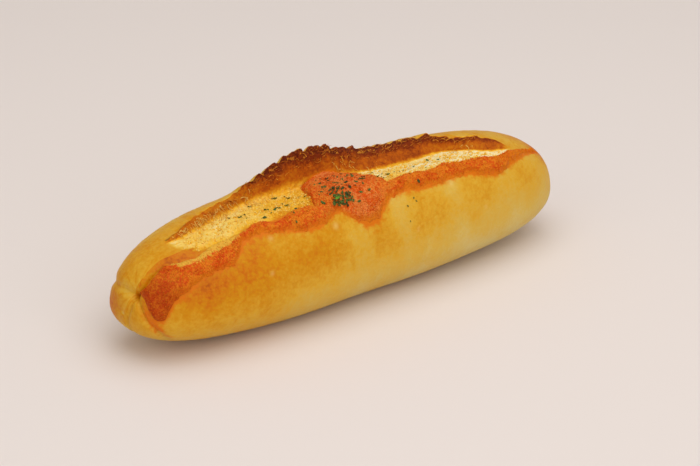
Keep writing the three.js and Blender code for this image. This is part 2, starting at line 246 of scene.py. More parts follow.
# Threads of torn crumb: tufts by their middle and number, and those strewn along the rim
RISING_TUFTS = ((-78, 8), (-73, 12), (-68, 14), (-64, 16), (-60, 16), (-56, 12), (-51, 8),
                (-44, 10), (-38, 16), (-33, 10), (-18, 8), (-14, 10), (20, 6), (60, 4))
HANGING_TUFTS = ((-82, 14), (-77, 22), (-71, 26), (-65, 26), (-58, 24), (-50, 14), (-42, 10),
                 (5, 10), (9, 12), (66, 8))
RIM_THREADS = {"count": 260, "from": -62, "to": 72, "lift": 0.25}
THREAD_CURL = 0.6

# How browned each part is, from 0 for pale to 1 for burnt, and what its places add to that
# The front's near_end term is partly real baking and partly painted shade, darkening the near end that gets less light
FRONT_BAKE = {"foot": 0.16, "top": 0.36, "near_end": 0.25, "far_foot": -0.14}
BACK_BAKE = {"foot": 0.2, "top": 0.33, "near_end": 0.02, "far_end": 0.03}
UNDER_BAKE = {"middle": 0.42, "ends": 0.1}
FLOOR_BAKE = {"middle": 0.2, "lip": 0.2, "before_pool": 0.2, "near_end": 0.04,
              "past_pool": -0.14, "far_end": -0.26}
TALL_WALL_BAKE = {"foot": 0.38, "top": 0.46, "near_top": -0.08, "rim": 0.22}
SHORT_WALL_BAKE = {"foot": 0.48, "top": 0.42, "far_end": -0.1}
# Along the creases, line is painted shade in the crease bottom and sides is painted light beside it; streak and
# blister are the crust's own colour
FOLD_BAKE_AND_SHADING = {"line": 0.18, "sides": -0.12, "streak": 0.1, "blister": 0.3}

# Where the crust is browner or paler than its height gives: place, reach, and how much
BAKE_PATCHES = (
    ((-84, -24, 33), 13, 0.06),
    ((-68, -27, 30), 12, 0.03),
    ((-46, -26, 43), 12, -0.06),
    ((-26, -27, 33), 9, 0.06),
    ((-14, -27, 37), 8, -0.12),
    ((4, -28, 32), 8, 0.10),
    ((14, -26, 41), 7, -0.14),
    ((28, -27, 34), 9, 0.12),
    ((42, -23, 43), 7, -0.16),
    ((58, -26, 37), 10, 0.12),
    ((76, -24, 38), 8, 0.06),
    ((92, -20, 24), 12, -0.08),
    ((109, -4, 30), 18, 0.24),
    ((-109, 7, 20), 8, 0.36),
    ((-104, 0, 36), 9, 0.02),
    ((-108, -4, 20), 7, 0.01),
    ((104, -8, 37), 7, 0.14),
    ((-98, 0, 45), 12, 0.05),
    ((-88, -6, 47), 12, 0.10),
    ((99, 2, 43), 8, 0.12),
)
PALE_BLISTERS = (
    ((-54.7, -27.1, 32), 0.9),
    ((-51, -21.1, 44.3), 1.1),
    ((20.2, -28.4, 30.7), 0.7),
    ((42.3, -22.3, 43.4), 1.2),
    ((58, -27, 30), 0.6),
    ((-20, -24, 42), 1.3),
    ((70, -24, 33), 0.6),
)
TOASTED_STREAK = ((-106, -13, 24), (-104.5, -15.6, 19), (-102.5, -17, 14.5), (-99, -16.5, 10),
                  (-94, -15.5, 5.5), (-88, -14.5, 2), (-83, -13, 0))

# Rows and columns of the meshes
LOAF_ROWS = 480
LOAF_CELLS = (6, 14, 17, 18, 40, 42, 16, 17, 13, 6)
ROE_ROWS = 440
ROE_CELLS = (22, 26)
CRUMB_GROUND = {"from": -88, "to": 80, "rows": 240, "low": 4.05, "high": 5.25, "columns": 30}

# Viewpoint, from a camera fitted to the loaf's outline
VIEW = {"azimuth": -37.88, "elevation": 25.0, "distance": 1250, "target": (4.09, -2.41, 24)}
LENS = 152.8
SENSOR = 36.0


def ease(t):
    """A soft step from 0 to 1."""
    return t * t * (3 - 2 * t)


def rise(start, end, value):
    """Goes softly from 0 at start to 1 at end."""
    return ease(np.clip((value - start) / (end - start), 0, 1))


def smooth_curve(pairs):
    """A smooth curve through (x, value) pairs that never overshoots them."""
    xs, values = np.array(pairs, float).T
    slopes = np.diff(values) / np.diff(xs)
    before, after = slopes[:-1], slopes[1:]
    same = before * after > 0
    tangent = np.zeros_like(values)
    tangent[1:-1] = np.where(same, 2 * before * after / np.where(same, before + after, 1), 0)

    def at(x):
        x = np.clip(x, xs[0], xs[-1])
        i = np.clip(np.searchsorted(xs, x) - 1, 0, len(xs) - 2)
        h = xs[i + 1] - xs[i]
        t = (x - xs[i]) / h
        ends = (1 + 2 * t) * (1 - t) ** 2 * values[i] + t * t * (3 - 2 * t) * values[i + 1]
        return ends + h * t * (1 - t) * ((1 - t) * tangent[i] - t * tangent[i + 1])

    return at


lip_y = smooth_curve(LIP_LINE)
foot_y = smooth_curve(FOOT_LINE)
rim_y = smooth_curve(RIM_LINE)
slit_depth = smooth_curve(SLIT_DEPTH)
ear_height = smooth_curve(EAR_HEIGHT)
roe_lower_degrees = smooth_curve(ROE_LOWER_EDGE)
roe_soaked = smooth_curve(ROE_SOAKED)
char_band = smooth_curve(CHAR_BAND)
char_strength = smooth_curve(CHAR_STRENGTH)


def ragged(x, start):
    """An uneven run of small waves, mostly within -1 and 1."""
    waves = ((0.83, 0.4), (1.9, 0.55), (0.41, 0.25), (4.7, 0.5))
    return sum(share * np.sin(x / length + start * k)
               for k, (length, share) in enumerate(waves, start=1))


def distance_to_path(points, path):
    """How far each point is from a path of straight stretches."""
    nearest = np.full(points.shape[:-1], np.inf)
    for start, end in zip(path, path[1:]):
        start = np.array(start, float)
        along = np.array(end, float) - start
        t = np.clip((points - start) @ along / (along @ along), 0, 1)
        nearest = np.minimum(nearest, np.linalg.norm(points - start - t[..., None] * along, axis=-1))
    return nearest


def bump_at(apart, reach):
    """1 where nothing is apart, and falling off softly with reach."""
    return np.exp(-((apart / reach) ** 2))


def mound(points, at, reach, height):
    """A soft round swelling."""
    return height * bump_at(np.linalg.norm(points - np.array(at, float), axis=-1), reach)


class LoafForm:
    """The loaf's surface. x runs along it, and c counts the lines round its section from 0 to 10:
    2 is the front's widest line, 4 the lip, 5 the foot of the wall, 6 the rim, 8 the back's widest.
    """

    def __init__(self, settings):
        self.length = settings.length / MM
        self.width = settings.width / MM
        self.height = settings.height / MM
        self.waist = WAIST_SHARE * self.height

    def size(self, x):
        """Half width, height above and below the widest line, and sideways bow at x."""
        s = np.clip(np.abs(x) / (self.length / 2), 0, 1)
        half = self.width / 2 * (1 - s ** PLAN_POWERS[0]) ** (1 / PLAN_POWERS[1])
        swell = 1 - s ** CREST_POWERS[0]
        above = (self.height - self.waist) * swell ** (1 / CREST_POWERS[1])
        below = self.waist * swell ** (1 / UNDERSIDE_POWER) + BASE_SINK * half * 2 / self.width
        return np.maximum(half, 1e-4), above, below, -BEND * s * s

    def lines(self, x):
        """The lines round the section at x, as angles."""
        half, _, below, _ = self.size(x)

        def angle(y, limit):
            share = np.clip(y / half, -limit, limit)
            return np.arccos(np.sign(share) * np.abs(share) ** (ROUND_TOP / 2))

        lip = angle(lip_y(x), LINE_REACH["lip"])
        foot = np.minimum(angle(foot_y(x), LINE_REACH["foot"]), lip - LINE_SPACING["lip"])
        rim = np.minimum(angle(rim_y(x), LINE_REACH["rim"]), foot - LINE_SPACING["foot"])
        behind = rim - EAR_BACK * np.minimum(rim, 1)
        flat = np.arcsin(np.minimum((self.waist / below) ** (ROUND_UNDER / 2), FLAT_LIMIT))
        full = np.full_like(half, math.pi)
        return np.stack([1.5 * full, full + flat, full, (full + lip) / 2, lip, foot, rim, behind,
                         0 * full, -flat, -0.5 * full])

    def angle(self, x, c):
        """The angle round the section of each x and c, with its stretch and share of that."""
        lines = self.lines(x)
        k = np.clip(np.floor(c).astype(int), 0, len(lines) - 2)
        f = c - k
        low = np.take_along_axis(lines, k[None], 0)[0]
        high = np.take_along_axis(lines, k[None] + 1, 0)[0]
        return low + (high - low) * f, k, f

    def surface(self, x, c):
        """Points of the smooth surface."""
        half, above, below, shift = self.size(x)
        angle, k, f = self.angle(x, c)
        cos, sin = np.cos(angle), np.sin(angle)
        power = 2 / np.where(sin >= 0, ROUND_TOP, ROUND_UNDER)
        y = half * np.sign(cos) * np.abs(cos) ** power
        z = self.waist + np.where(sin >= 0, above, -below) * np.abs(sin) ** power
        depth, ear = slit_depth(x), ear_height(x)
        drop = LIP_DROP * depth / 5
        floor = depth * ease(f) ** FLOOR_CURVE + drop * ease(np.minimum(f * 4, 1))
        up = np.abs(f) ** WALL_CURVE
        wall = ear * up - depth * (1 - up) - drop * (1 - f)
        z = z + np.select([k == 4, k == 5, k == 6], [-floor, wall, ear * (1 - ease(f))], 0)
        return np.stack([x, y + shift, np.maximum(z, 0)], -1)

    def outward(self, x, c):
        """Directions that point out of the surface."""
        step = np.minimum(0.2, (self.length / 2 - np.abs(x)) / 2)
        along = self.surface(x + step, c) - self.surface(x - step, c)
        across = self.surface(x, (c + 0.02) % 10) - self.surface(x, (c - 0.02) % 10)
        out = np.cross(along, across)
        return out / np.maximum(np.linalg.norm(out, axis=-1, keepdims=True), 1e-9)

    def creases(self, points):
        """Depth of the dough's creases."""
        near = points[..., 0] < CREASE_END
        depth = np.zeros(points.shape[:-1])
        for crease in CREASES:
            apart = distance_to_path(points[near], crease["path"])
            for groove in (crease, CREASE_LINE):
                depth[near] += groove["depth"] * bump_at(apart, groove["width"])
        return depth

    def relief(self, points, c):
        """How far the crust stands off the smooth surface, creases apart."""
        x, y = points[..., 0], points[..., 1]
        torn = np.where((c > 4) & (c < 5), np.sin(math.pi * (c - 4)), 0)
        torn = torn * np.minimum(slit_depth(x) / 3, 1)
        lumps = np.sin(x / LUMPS["along"] + 1) * np.cos((y + x / 3) / LUMPS["across"])
        ripples = np.sin(x / RIPPLES["along"] + 1.4 * np.sin(y / RIPPLES["across"]))
        return (LUMPS["height"] * lumps + RIPPLES["height"] * torn * ripples
                + mound(points, **FOLD_BULGE) + mound(points, **END_TUCK))

    def chips(self, x, c):
        """Chips along the top of the ear."""
        near = np.maximum(1 - np.abs(c - 6) / RIM_CHIPS["band"], 0)
        burnt = np.minimum(slit_depth(x) / 3, 1) * (0.35 + 0.065 * ear_height(x))
        waves = sum(share * np.sin(x / length + start) for length, start, share in RIM_WAVES)
        spike = bump_at(x - RIM_SPIKE["at"], RIM_SPIKE["reach"]) * near ** 2
        return RIM_CHIPS["height"] * near * burnt * waves + RIM_SPIKE["height"] * spike

    def crust(self, x, c, off=None):
        """Points of the crust, raised by off millimetres. What is raised bridges the creases."""
        points = self.surface(x, c)
        grounded = points[..., 2] <= 0
        if off is None:
            lift = self.relief(points, c) - self.creases(points)
        else:
            lift = self.relief(points, c) + off
        raised = points + self.outward(x, c) * lift[..., None]
        raised[..., 2] = np.maximum(raised[..., 2] + self.chips(x, c), 0.02)
        return np.where(grounded[..., None], points, raised)


class RoeForm:
    """The roe spread over a loaf, between its lower and upper edge."""

    def __init__(self, loaf, settings):
        self.loaf = loaf
        self.thickness = settings.thickness / MM

    def edges(self, x):
        """Where its edges run, as counts of the section's lines, and how far across the pool x is."""
        lines = self.loaf.lines(x)
        angle = np.radians(roe_lower_degrees(x))
        k = np.where(angle > lines[3], 2, 3)
        upper = np.take_along_axis(lines, k[None], 0)[0]
        lower = np.take_along_axis(lines, k[None] + 1, 0)[0]
        low = k + (upper - angle) / (upper - lower)
        share = np.clip((x - POOL["from"]) / (POOL["to"] - POOL["from"]), 0, 1) ** POOL["lean"]
        across = 4 * share * (1 - share)
        high = 4 + ROE_OVER_LIP + POOL["reach"] * across ** 0.7 + 0.04 * np.sin(x / 3.1)
        return low, high, across

    def depth(self, x, c):
        """Thickness over the crust, thin at the edges and deep in the pool."""
        low, high, across = self.edges(x)
        r = np.clip((c - low) / (high - low), 0, 1)
        taper = np.minimum(np.minimum((x - ROE_START) / 4, (ROE_END - x) / 6), 1)
        swell = (1 - np.abs(2 * r - 1) ** 3) * taper
        pool = POOL["height"] * across * np.sin(math.pi * np.clip(r * 1.15 - 0.15, 0, 1))
        return (ROE_EDGE + (self.thickness - ROE_EDGE) * swell + pool
                + 0.2 * swell * np.sin(x / 1.9 + 5 * r))


def part_way(low, high, share):
    """The number that lies this share of the way from low to high."""
    return low + (high - low) * share


def draw_from(seed):
    """A repeatable draw between 0 and 1."""
    state = seed

    def draw():
        nonlocal state
        state = (state * 16807) % 2147483647
        return state / 2147483647

    return draw


def spiral(count):
    """Even places over a disc of radius 1, each with how far out it lies."""
    for i in range(count):
        turn = i * GOLDEN_TURN
        out = math.sqrt((i + 0.5) / count)
        yield out * math.cos(turn), out * math.sin(turn), out


def grid_mesh(name, points, around, caps=(), more=()):
    """A mesh of rows of points, closed round each row and by a point at each end if asked,
    with more faces between its points.
    """
    rows, columns = points.shape[:2]
    i = np.arange(rows - 1)[:, None] * columns
    j = np.arange(columns if around else columns - 1)
    k = (j + 1) % columns
    faces = np.stack(np.broadcast_arrays(i + j, i + columns + j, i + columns + k, i + k), -1)
    faces = faces.reshape(-1, 4).tolist()
    flat = points.reshape(-1, 3)
    if caps:
        first, last = len(flat), len(flat) + 1
        flat = np.vstack([flat, caps])
        end = (rows - 1) * columns
        faces += [(first, a, b) for a, b in zip(j.tolist(), k.tolist())]
        faces += [(last, end + b, end + a) for a, b in zip(j.tolist(), k.tolist())]
    faces += more
    mesh = bpy.data.meshes.new(name)
    mesh.from_pydata((flat * MM).tolist(), [], faces)
    mesh.update()
    return mesh


def store(mesh, name, values, kind="FLOAT"):
    """Keeps one value for each point of a mesh, as an attribute. Points past the last get 0."""
    kept = mesh.attributes.new(name, kind, "POINT")
    size = 3 if kind == "FLOAT_VECTOR" else 1
    flat = np.zeros(len(mesh.vertices) * size, np.float32)
    flat[: values.size] = values.ravel()
    kept.data.foreach_set("vector" if size == 3 else "value", flat)


def add_object(name, mesh):
    """A new object of this mesh in the scene."""
    made = bpy.data.objects.new(name, mesh)
    bpy.context.scene.collection.objects.link(made)
    return made


def keep_inside(mesh):
    """Moves what stands out of the CAD model's box back to its side."""
    flat = np.empty(len(mesh.vertices) * 3, np.float32)
    mesh.vertices.foreach_get("co", flat)
    inside = np.clip(flat.reshape(-1, 3), CAD_BOX[0], CAD_BOX[1])
    mesh.vertices.foreach_set("co", inside.astype(np.float32).ravel())
    mesh.update()


def finished(source, tree, name, **inputs):
    """The plain mesh object that a node tree makes of a source object, which is then removed."""
    modifier = source.modifiers.new(tree.name, "NODES")
    modifier.node_group = tree
    identifiers = {item.name: item.identifier for item in tree.interface.items_tree}
    for key, value in inputs.items():
        modifier[identifiers[key.replace("_", " ")]] = value
    graph = bpy.context.evaluated_depsgraph_get()
    evaluated = source.evaluated_get(graph)
    mesh = bpy.data.meshes.new_from_object(evaluated, preserve_all_data_layers=True, depsgraph=graph)
    if not mesh.polygons:
        raise RuntimeError(f"{tree.name} made no faces for {name}")
    mesh.name = name
    source.modifiers.remove(modifier)
    bpy.data.objects.remove(source)
    keep_inside(mesh)
    mesh.shade_smooth()
    return add_object(name, mesh)


def dress(piece, slot, *nodes):
    """Ties a piece to the frame."""
    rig.ride(piece, "root")
    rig.replaces(piece, *nodes)
    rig.slot(piece, slot)


def linear(colour):
    """The linear values of a colour of 0 to 255 as a screen shows it."""
    shares = np.array(colour[:3], float) / 255
    values = np.where(shares <= 0.04045, shares / 12.92, ((shares + 0.055) / 1.055) ** 2.4)
    return tuple(float(v) for v in values)


def colour_property(name, description, red, green, blue):
    """A colour that a user may change."""
    return FloatVectorProperty(name=name, description=description, subtype="COLOR", size=3,
                               min=0, max=1, default=linear((red, green, blue)))


def length_property(name, description, millimetres):
    """A length that a user may change."""
    return FloatProperty(name=name, description=description, default=millimetres * MM, min=0,
                         unit="LENGTH", precision=5)


def node(tree, kind, inputs=None, **settings):
    """A node of this kind, with its settings, and its inputs set or linked by name or place."""
    made = tree.nodes.new(kind)
    for key, value in settings.items():
        setattr(made, key, value)
    for key, value in (inputs or {}).items():
        if isinstance(value, bpy.types.NodeSocket):
            tree.links.new(value, made.inputs[key])
        else:
            made.inputs[key].default_value = value
    return made


def calculate(tree, operation, first, second=0.0, clamp=False):
    """One sum on numbers."""
    made = node(tree, "ShaderNodeMath", {0: first, 1: second}, operation=operation,
                use_clamp=clamp)
    return made.outputs[0]


def added(tree, first, second, clamp=False):
    """Two numbers added."""
    return calculate(tree, "ADD", first, second, clamp)


def times(tree, first, second, clamp=False):
    """Two numbers multiplied."""
    return calculate(tree, "MULTIPLY", first, second, clamp)


def about_zero(tree, value):
    """A number from 0 to 1, moved to lie about 0."""
    return calculate(tree, "SUBTRACT", value, 0.5)


def blended(tree, share, first, second):
    """A mix of two colours."""
    first, second = (c if isinstance(c, bpy.types.NodeSocket) else (*c, 1)
                     for c in (first, second))
    return node(tree, "ShaderNodeMix", {0: share, 6: first, 7: second},
                data_type="RGBA").outputs[2]


def between(tree, share, first, second):
    """A mix of two numbers."""
    return node(tree, "ShaderNodeMix", {0: share, 2: first, 3: second}).outputs[0]


def spread_over(tree, value, low, high, to_low=0.0, to_high=1.0):
    """A number moved from one range to another, softly, and held at its ends."""
    made = node(tree, "ShaderNodeMapRange", {0: value, 1: low, 2: high, 3: to_low, 4: to_high},
                interpolation_type="SMOOTHSTEP")
    return made.outputs[0]


def ramp(tree, share, stops):
    """A colour ramp of (place, colour) stops."""
    made = node(tree, "ShaderNodeValToRGB", {0: share})
    band = made.color_ramp
    while len(band.elements) < len(stops):
        band.elements.new(0.5)
    for element, (place, colour) in zip(band.elements, stops):
        element.position = place
        element.color = (*colour, 1)
    return made.outputs[0]


def attribute(tree, name):
    """The value of a piece's own attribute, in a material."""
    return node(tree, "ShaderNodeAttribute", attribute_name=name).outputs["Fac"]


def shader_group(name, inputs, outputs):
    """An empty shader group with named inputs and outputs, and its two end nodes."""
    tree = bpy.data.node_groups.new(name, "ShaderNodeTree")
    for key, (kind, default) in inputs.items():
        socket = tree.interface.new_socket(key, in_out="INPUT", socket_type=kind)
        if default is not None:
            socket.default_value = default
    for key in outputs:
        tree.interface.new_socket(key, in_out="OUTPUT", socket_type="NodeSocketFloat")
    return tree, node(tree, "NodeGroupInput").outputs, node(tree, "NodeGroupOutput").inputs


def mottle_group():
    """Soft uneven browning in blots of a given size, drawn out downwards, and smaller freckles."""
    name = "Soft mottle"
    if name in bpy.data.node_groups:
        return bpy.data.node_groups[name]
    tree, given, made = shader_group(
        name,
        {"Vector": ("NodeSocketVector", None), "Size": ("NodeSocketFloat", 0.01),
         "Detail": ("NodeSocketFloat", 3.0), "Drawn out": ("NodeSocketFloat", 1.0)},
        ("Blots", "Freckles"))
    scale = calculate(tree, "DIVIDE", 1.0, given["Size"])
    shorter = calculate(tree, "DIVIDE", 1.0, given["Drawn out"])
    down = node(tree, "ShaderNodeCombineXYZ", {"X": 1.0, "Y": 1.0, "Z": shorter}).outputs[0]
    drawn = node(tree, "ShaderNodeVectorMath", {0: given["Vector"], 1: down},
                 operation="MULTIPLY").outputs[0]
    blots = node(tree, "ShaderNodeTexNoise", {"Vector": drawn, "Scale": scale,
                                              "Detail": given["Detail"], "Roughness": 0.55})
    finer = times(tree, scale, 5.5)
    freckles = node(tree, "ShaderNodeTexNoise", {"Vector": given["Vector"], "Scale": finer,
                                                 "Detail": 2.0, "Roughness": 0.6})
    tree.links.new(spread_over(tree, blots.outputs[0], 0.3, 0.7), made["Blots"])
    tree.links.new(spread_over(tree, freckles.outputs[0], 0.32, 0.68), made["Freckles"])
    return tree


def grain_group():
    """Fine grains or pores, as a height and a mask of the gaps between them, for painted shade in the gaps."""
    name = "Grain and pores"
    if name in bpy.data.node_groups:
        return bpy.data.node_groups[name]
    tree, given, made = shader_group(
        name,
        {"Vector": ("NodeSocketVector", None), "Size": ("NodeSocketFloat", 0.001),
         "Unevenness": ("NodeSocketFloat", 0.5)},
        ("Height", "Shaded gaps"))
    scale = calculate(tree, "DIVIDE", 1.0, given["Size"])
    cells = node(tree, "ShaderNodeTexVoronoi", {"Vector": given["Vector"], "Scale": scale},
                 feature="SMOOTH_F1")
    uneven = node(tree, "ShaderNodeTexNoise", {"Vector": given["Vector"], "Scale": scale,
                                               "Detail": 3.0, "Roughness": 0.65})
    grains = spread_over(tree, cells.outputs["Distance"], 0.15, 0.75, 1.0, 0.0)
    height = between(tree, given["Unevenness"], grains, uneven.outputs[0])
    tree.links.new(height, made["Height"])
    # The gaps mask is where the materials paint shade into the recesses
    tree.links.new(spread_over(tree, height, 0.28, 0.5, 1.0, 0.0), made["Shaded gaps"])
    return tree


def mottled(tree, place, size, detail, drawn_out=1.0):
    """Soft browning with blots of this size, placed in a material."""
    return node(tree, "ShaderNodeGroup", {"Vector": place, "Size": size, "Detail": detail,
                                          "Drawn out": drawn_out},
                node_tree=mottle_group()).outputs


def grained(tree, place, size, unevenness):
    """Fine grains or pores of this size, placed in a material."""
    return node(tree, "ShaderNodeGroup", {"Vector": place, "Size": size,
                                          "Unevenness": unevenness},
                node_tree=grain_group()).outputs


def new_material(name):
    """A material with nothing but its Principled shader, and the place on the object."""
    material = bpy.data.materials.new(name)
    material.use_nodes = True
    tree = material.node_tree
    shader = tree.nodes["Principled BSDF"]
    place = node(tree, "ShaderNodeTexCoord").outputs["Object"]
    return material, tree, shader, place


def bumped(tree, shader, height, distance):
    """Gives a material fine relief of this height."""
    bump = node(tree, "ShaderNodeBump", {"Height": height, "Distance": distance})
    tree.links.new(bump.outputs[0], shader.inputs["Normal"])


def soft_inside(shader, weight, scale, radius):
    """Lets some light through the surface, as moist or airy food does."""
    shader.inputs["Subsurface Weight"].default_value = weight
    shader.inputs["Subsurface Scale"].default_value = scale
    shader.inputs["Subsurface Radius"].default_value = radius


def browning(tree, freckles, blots, pores):
    """The loaf's bake attribute, made uneven: cloudy where it is pale, freckled where brown, and darker in the crust's
    pores as painted shade.
    """
    level = attribute(tree, "bake")
    fine = times(tree, freckles, spread_over(tree, level, 0.2, 0.5, 0.03, 0.1))
    cloudy = times(tree, blots, spread_over(tree, level, 0.5, 0.72, 0.22, 0.08))
    # Painted shade: the crust is darker where its pores sink in
    grain = times(tree, about_zero(tree, pores), -0.15)
    return added(tree, level, added(tree, added(tree, cloudy, fine), grain), clamp=True)


def soaked_share(tree, freckles):
    """How much of the roe's colour the crust has taken up."""
    stain = attribute(tree, "stain")
    broken = added(tree, stain, times(tree, freckles, 0.35))
    return times(tree, spread_over(tree, broken, 0.08, 0.8), spread_over(tree, stain, 0.0, 0.2))


def burnt_share(tree, char, freckles, gaps):
    """Where the rim is burnt, with a broken edge, and more of the char's dark colour in the gaps of the crumb as
    painted shade.
    """
    burnt = added(tree, char, times(tree, freckles, 0.35))
    # Painted shade: the gaps between crumbs take more of the dark char colour
    burnt = added(tree, burnt, times(tree, gaps, 0.12))
    burnt = times(tree, spread_over(tree, burnt, 0.25, 0.75), char, clamp=True)
    return spread_over(tree, burnt, 0.05, 0.6)


def bread_material(look):
    """Crust, torn crumb, burnt rim and roe stain, each where the loaf's attributes say."""
    material, tree, shader, place = new_material("Baked bread")
    mottle = mottled(tree, place, 0.013, 3.0, drawn_out=2.0)
    pores = grained(tree, place, 0.0011, 0.6)
    torn = grained(tree, place, 0.0009, 0.75)
    crumb, char = attribute(tree, "crumb"), attribute(tree, "char")
    freckles = about_zero(tree, mottle["Freckles"])
    bake = browning(tree, freckles, about_zero(tree, mottle["Blots"]), pores["Height"])
    crust = ramp(tree, bake, (
        (0.0, look.pale_crust), (0.25, look.straw_crust), (0.5, look.golden_crust),
        (0.7, look.amber_crust), (0.86, look.brown_crust), (1.0, look.dark_crust)))
    crust = blended(tree, attribute(tree, "blister"), crust, look.blister)
    # Painted shade: the torn crumb is darker in the gaps of its grain
    inside = ramp(tree, added(tree, bake, times(tree, torn["Shaded gaps"], 0.08), clamp=True), (
        (0.0, look.cream_crumb), (0.2, look.pale_crumb), (0.42, look.yellow_crumb),
        (0.62, look.honey_crumb), (0.84, look.orange_crumb), (1.0, look.brown_crumb)))
    colour = blended(tree, crumb, crust, inside)
    colour = blended(tree, soaked_share(tree, freckles), colour, look.stain)
    # Painted highlight: the char is lighter on the high spots of its grain
    dark = blended(tree, spread_over(tree, torn["Height"], 0.35, 0.9), look.char, look.char_highlight_and_thread_tone)
    dark = blended(tree, spread_over(tree, mottle["Freckles"], 0.88, 1.1), dark, look.lace)
    colour = blended(tree, burnt_share(tree, char, freckles, torn["Shaded gaps"]), colour, dark)
    tree.links.new(colour, shader.inputs["Base Color"])
    rough = between(tree, crumb, 0.46, 0.8)
    tree.links.new(between(tree, char, rough, 0.6), shader.inputs["Roughness"])
    bumped(tree, shader, between(tree, crumb, times(tree, pores["Height"], 0.5),
                                 times(tree, torn["Height"], 0.4)), 0.0004)
    shader.inputs["Specular IOR Level"].default_value = 0.14
    soft_inside(shader, 0.1, 0.003, (1.0, 0.45, 0.15))
    return material


def roe_material(look):
    """Grainy coral roe, deeper at its lower edge and toasted at the near end, with painted shade in the gaps between
    its grains.
    """
    material, tree, shader, place = new_material("Roe spread")
    mottle = mottled(tree, place, 0.005, 4.0)
    grain = grained(tree, place, 0.0009, 0.5)
    tone = added(tree, times(tree, mottle["Blots"], 0.55), times(tree, mottle["Freckles"], 0.6))
    tone = added(tree, tone, times(tree, attribute(tree, "tone"), 0.3))
    light = blended(tree, attribute(tree, "fresh"), look.grain_colour, look.pink)
    colour = blended(tree, spread_over(tree, tone, 0.3, 0.95), look.coral, light)
    # Painted shade: deeper orange in the gaps between the grains
    colour = blended(tree, times(tree, grain["Shaded gaps"], 0.4), colour, look.deep)
    edge = added(tree, attribute(tree, "edge"),
                 times(tree, about_zero(tree, mottle["Blots"]), 0.6), clamp=True)
    colour = blended(tree, edge, colour, look.deep)
    patchy = times(tree, calculate(tree, "SUBTRACT", 0.6, tone), 0.7)
    toast = times(tree, attribute(tree, "toast"), added(tree, 1.0, patchy), clamp=True)
    colour = blended(tree, toast, colour, look.toasted)
    film = attribute(tree, "soaked")
    broken = added(tree, film, times(tree, calculate(tree, "SUBTRACT", tone, 0.6), 0.8))
    film = times(tree, spread_over(tree, broken, 0.25, 0.75), spread_over(tree, film, 0.0, 0.3))
    colour = blended(tree, film, colour, look.film)
    tree.links.new(colour, shader.inputs["Base Color"])
    tree.links.new(between(tree, mottle["Freckles"], 0.42, 0.66), shader.inputs["Roughness"])
    bumped(tree, shader, grain["Height"], 0.0003)
    shader.inputs["Specular IOR Level"].default_value = 0.1
    soft_inside(shader, 0.12, 0.002, (1.0, 0.3, 0.12))
    return material


def strand_material(name, light, dark, rough):
    """Torn threads or crumbs, each between a light and a dark colour, darker in the gaps of their grain as painted
    shade.
    """
    material, tree, shader, place = new_material(name)
    grain = grained(tree, place, 0.0008, 0.7)
    # Painted shade: darker in the gaps of the grain
    share = added(tree, attribute(tree, "tone"), times(tree, grain["Shaded gaps"], 0.2), clamp=True)
    tree.links.new(blended(tree, share, light, dark), shader.inputs["Base Color"])
    bumped(tree, shader, grain["Height"], 0.00015)
    shader.inputs["Specular IOR Level"].default_value = 0.15
    shader.inputs["Roughness"].default_value = rough
    return material


def parsley_material(look):
    """Dried parsley: dark and matte, with some brighter leaves."""
    material, tree, shader, place = new_material("Dried parsley")
    mottle = mottled(tree, place, 0.0012, 2.0)
    colour = ramp(tree, attribute(tree, "tone"), (
        (0.0, look.dark_leaf), (0.6, look.leaf), (0.92, look.leaf), (1.0, look.bright_leaf)))
    shade = spread_over(tree, mottle["Blots"], 0.0, 1.0, 0.5, 1.0)
    colour = blended(tree, shade, look.dark_leaf, colour)
    tree.links.new(colour, shader.inputs["Base Color"])
    bumped(tree, shader, mottle["Blots"], 0.0002)
    shader.inputs["Specular IOR Level"].default_value = 0.2
    shader.inputs["Roughness"].default_value = 0.7
    return material


def geometry_tree(name, sizes):
    """An empty geometry tree with a geometry input, named sizes, a material and its output."""
    tree = bpy.data.node_groups.new(name, "GeometryNodeTree")
    tree.interface.new_socket("Geometry", in_out="INPUT", socket_type="NodeSocketGeometry")
    for key, default in sizes.items():
        kind = "NodeSocketInt" if isinstance(default, int) else "NodeSocketFloat"
        socket = tree.interface.new_socket(key, in_out="INPUT", socket_type=kind)
        socket.default_value = default
    tree.interface.new_socket("Material", in_out="INPUT", socket_type="NodeSocketMaterial")
    tree.interface.new_socket("Geometry", in_out="OUTPUT", socket_type="NodeSocketGeometry")
    return tree, node(tree, "NodeGroupInput").outputs


def close_tree(tree, given, geometry):
    """Ends a tree: instances made real, and the material set."""
    real = node(tree, "GeometryNodeRealizeInstances", {0: geometry}).outputs[0]
    dressed = node(tree, "GeometryNodeSetMaterial", {"Geometry": real,
                                                     "Material": given["Material"]}).outputs[0]
    node(tree, "NodeGroupOutput", {0: dressed})
    return tree


def named_value(tree, name, kind="FLOAT"):
    """The value of a mesh's attribute, in a geometry tree."""
    return node(tree, "GeometryNodeInputNamedAttribute", {"Name": name},
                data_type=kind).outputs[0]


def noise_height(tree, size, detail, where, height):
    """Uneven relief of a given size and height, where a mask allows it."""
    texture = node(tree, "ShaderNodeTexNoise", {
        "Scale": calculate(tree, "DIVIDE", 1.0, size), "Detail": detail, "Roughness": 0.6})
    return times(tree, times(tree, about_zero(tree, texture.outputs[0]), where), height)


def raised(tree, given, height):
    """Moves the surface out by this height, and ends the tree."""
    normal = node(tree, "GeometryNodeInputNormal").outputs[0]
    offset = node(tree, "ShaderNodeVectorMath", {0: normal, "Scale": height},
                  operation="SCALE").outputs[0]
    moved = node(tree, "GeometryNodeSetPosition", {"Geometry": given["Geometry"],
                                                   "Offset": offset}).outputs[0]
    return close_tree(tree, given, moved)


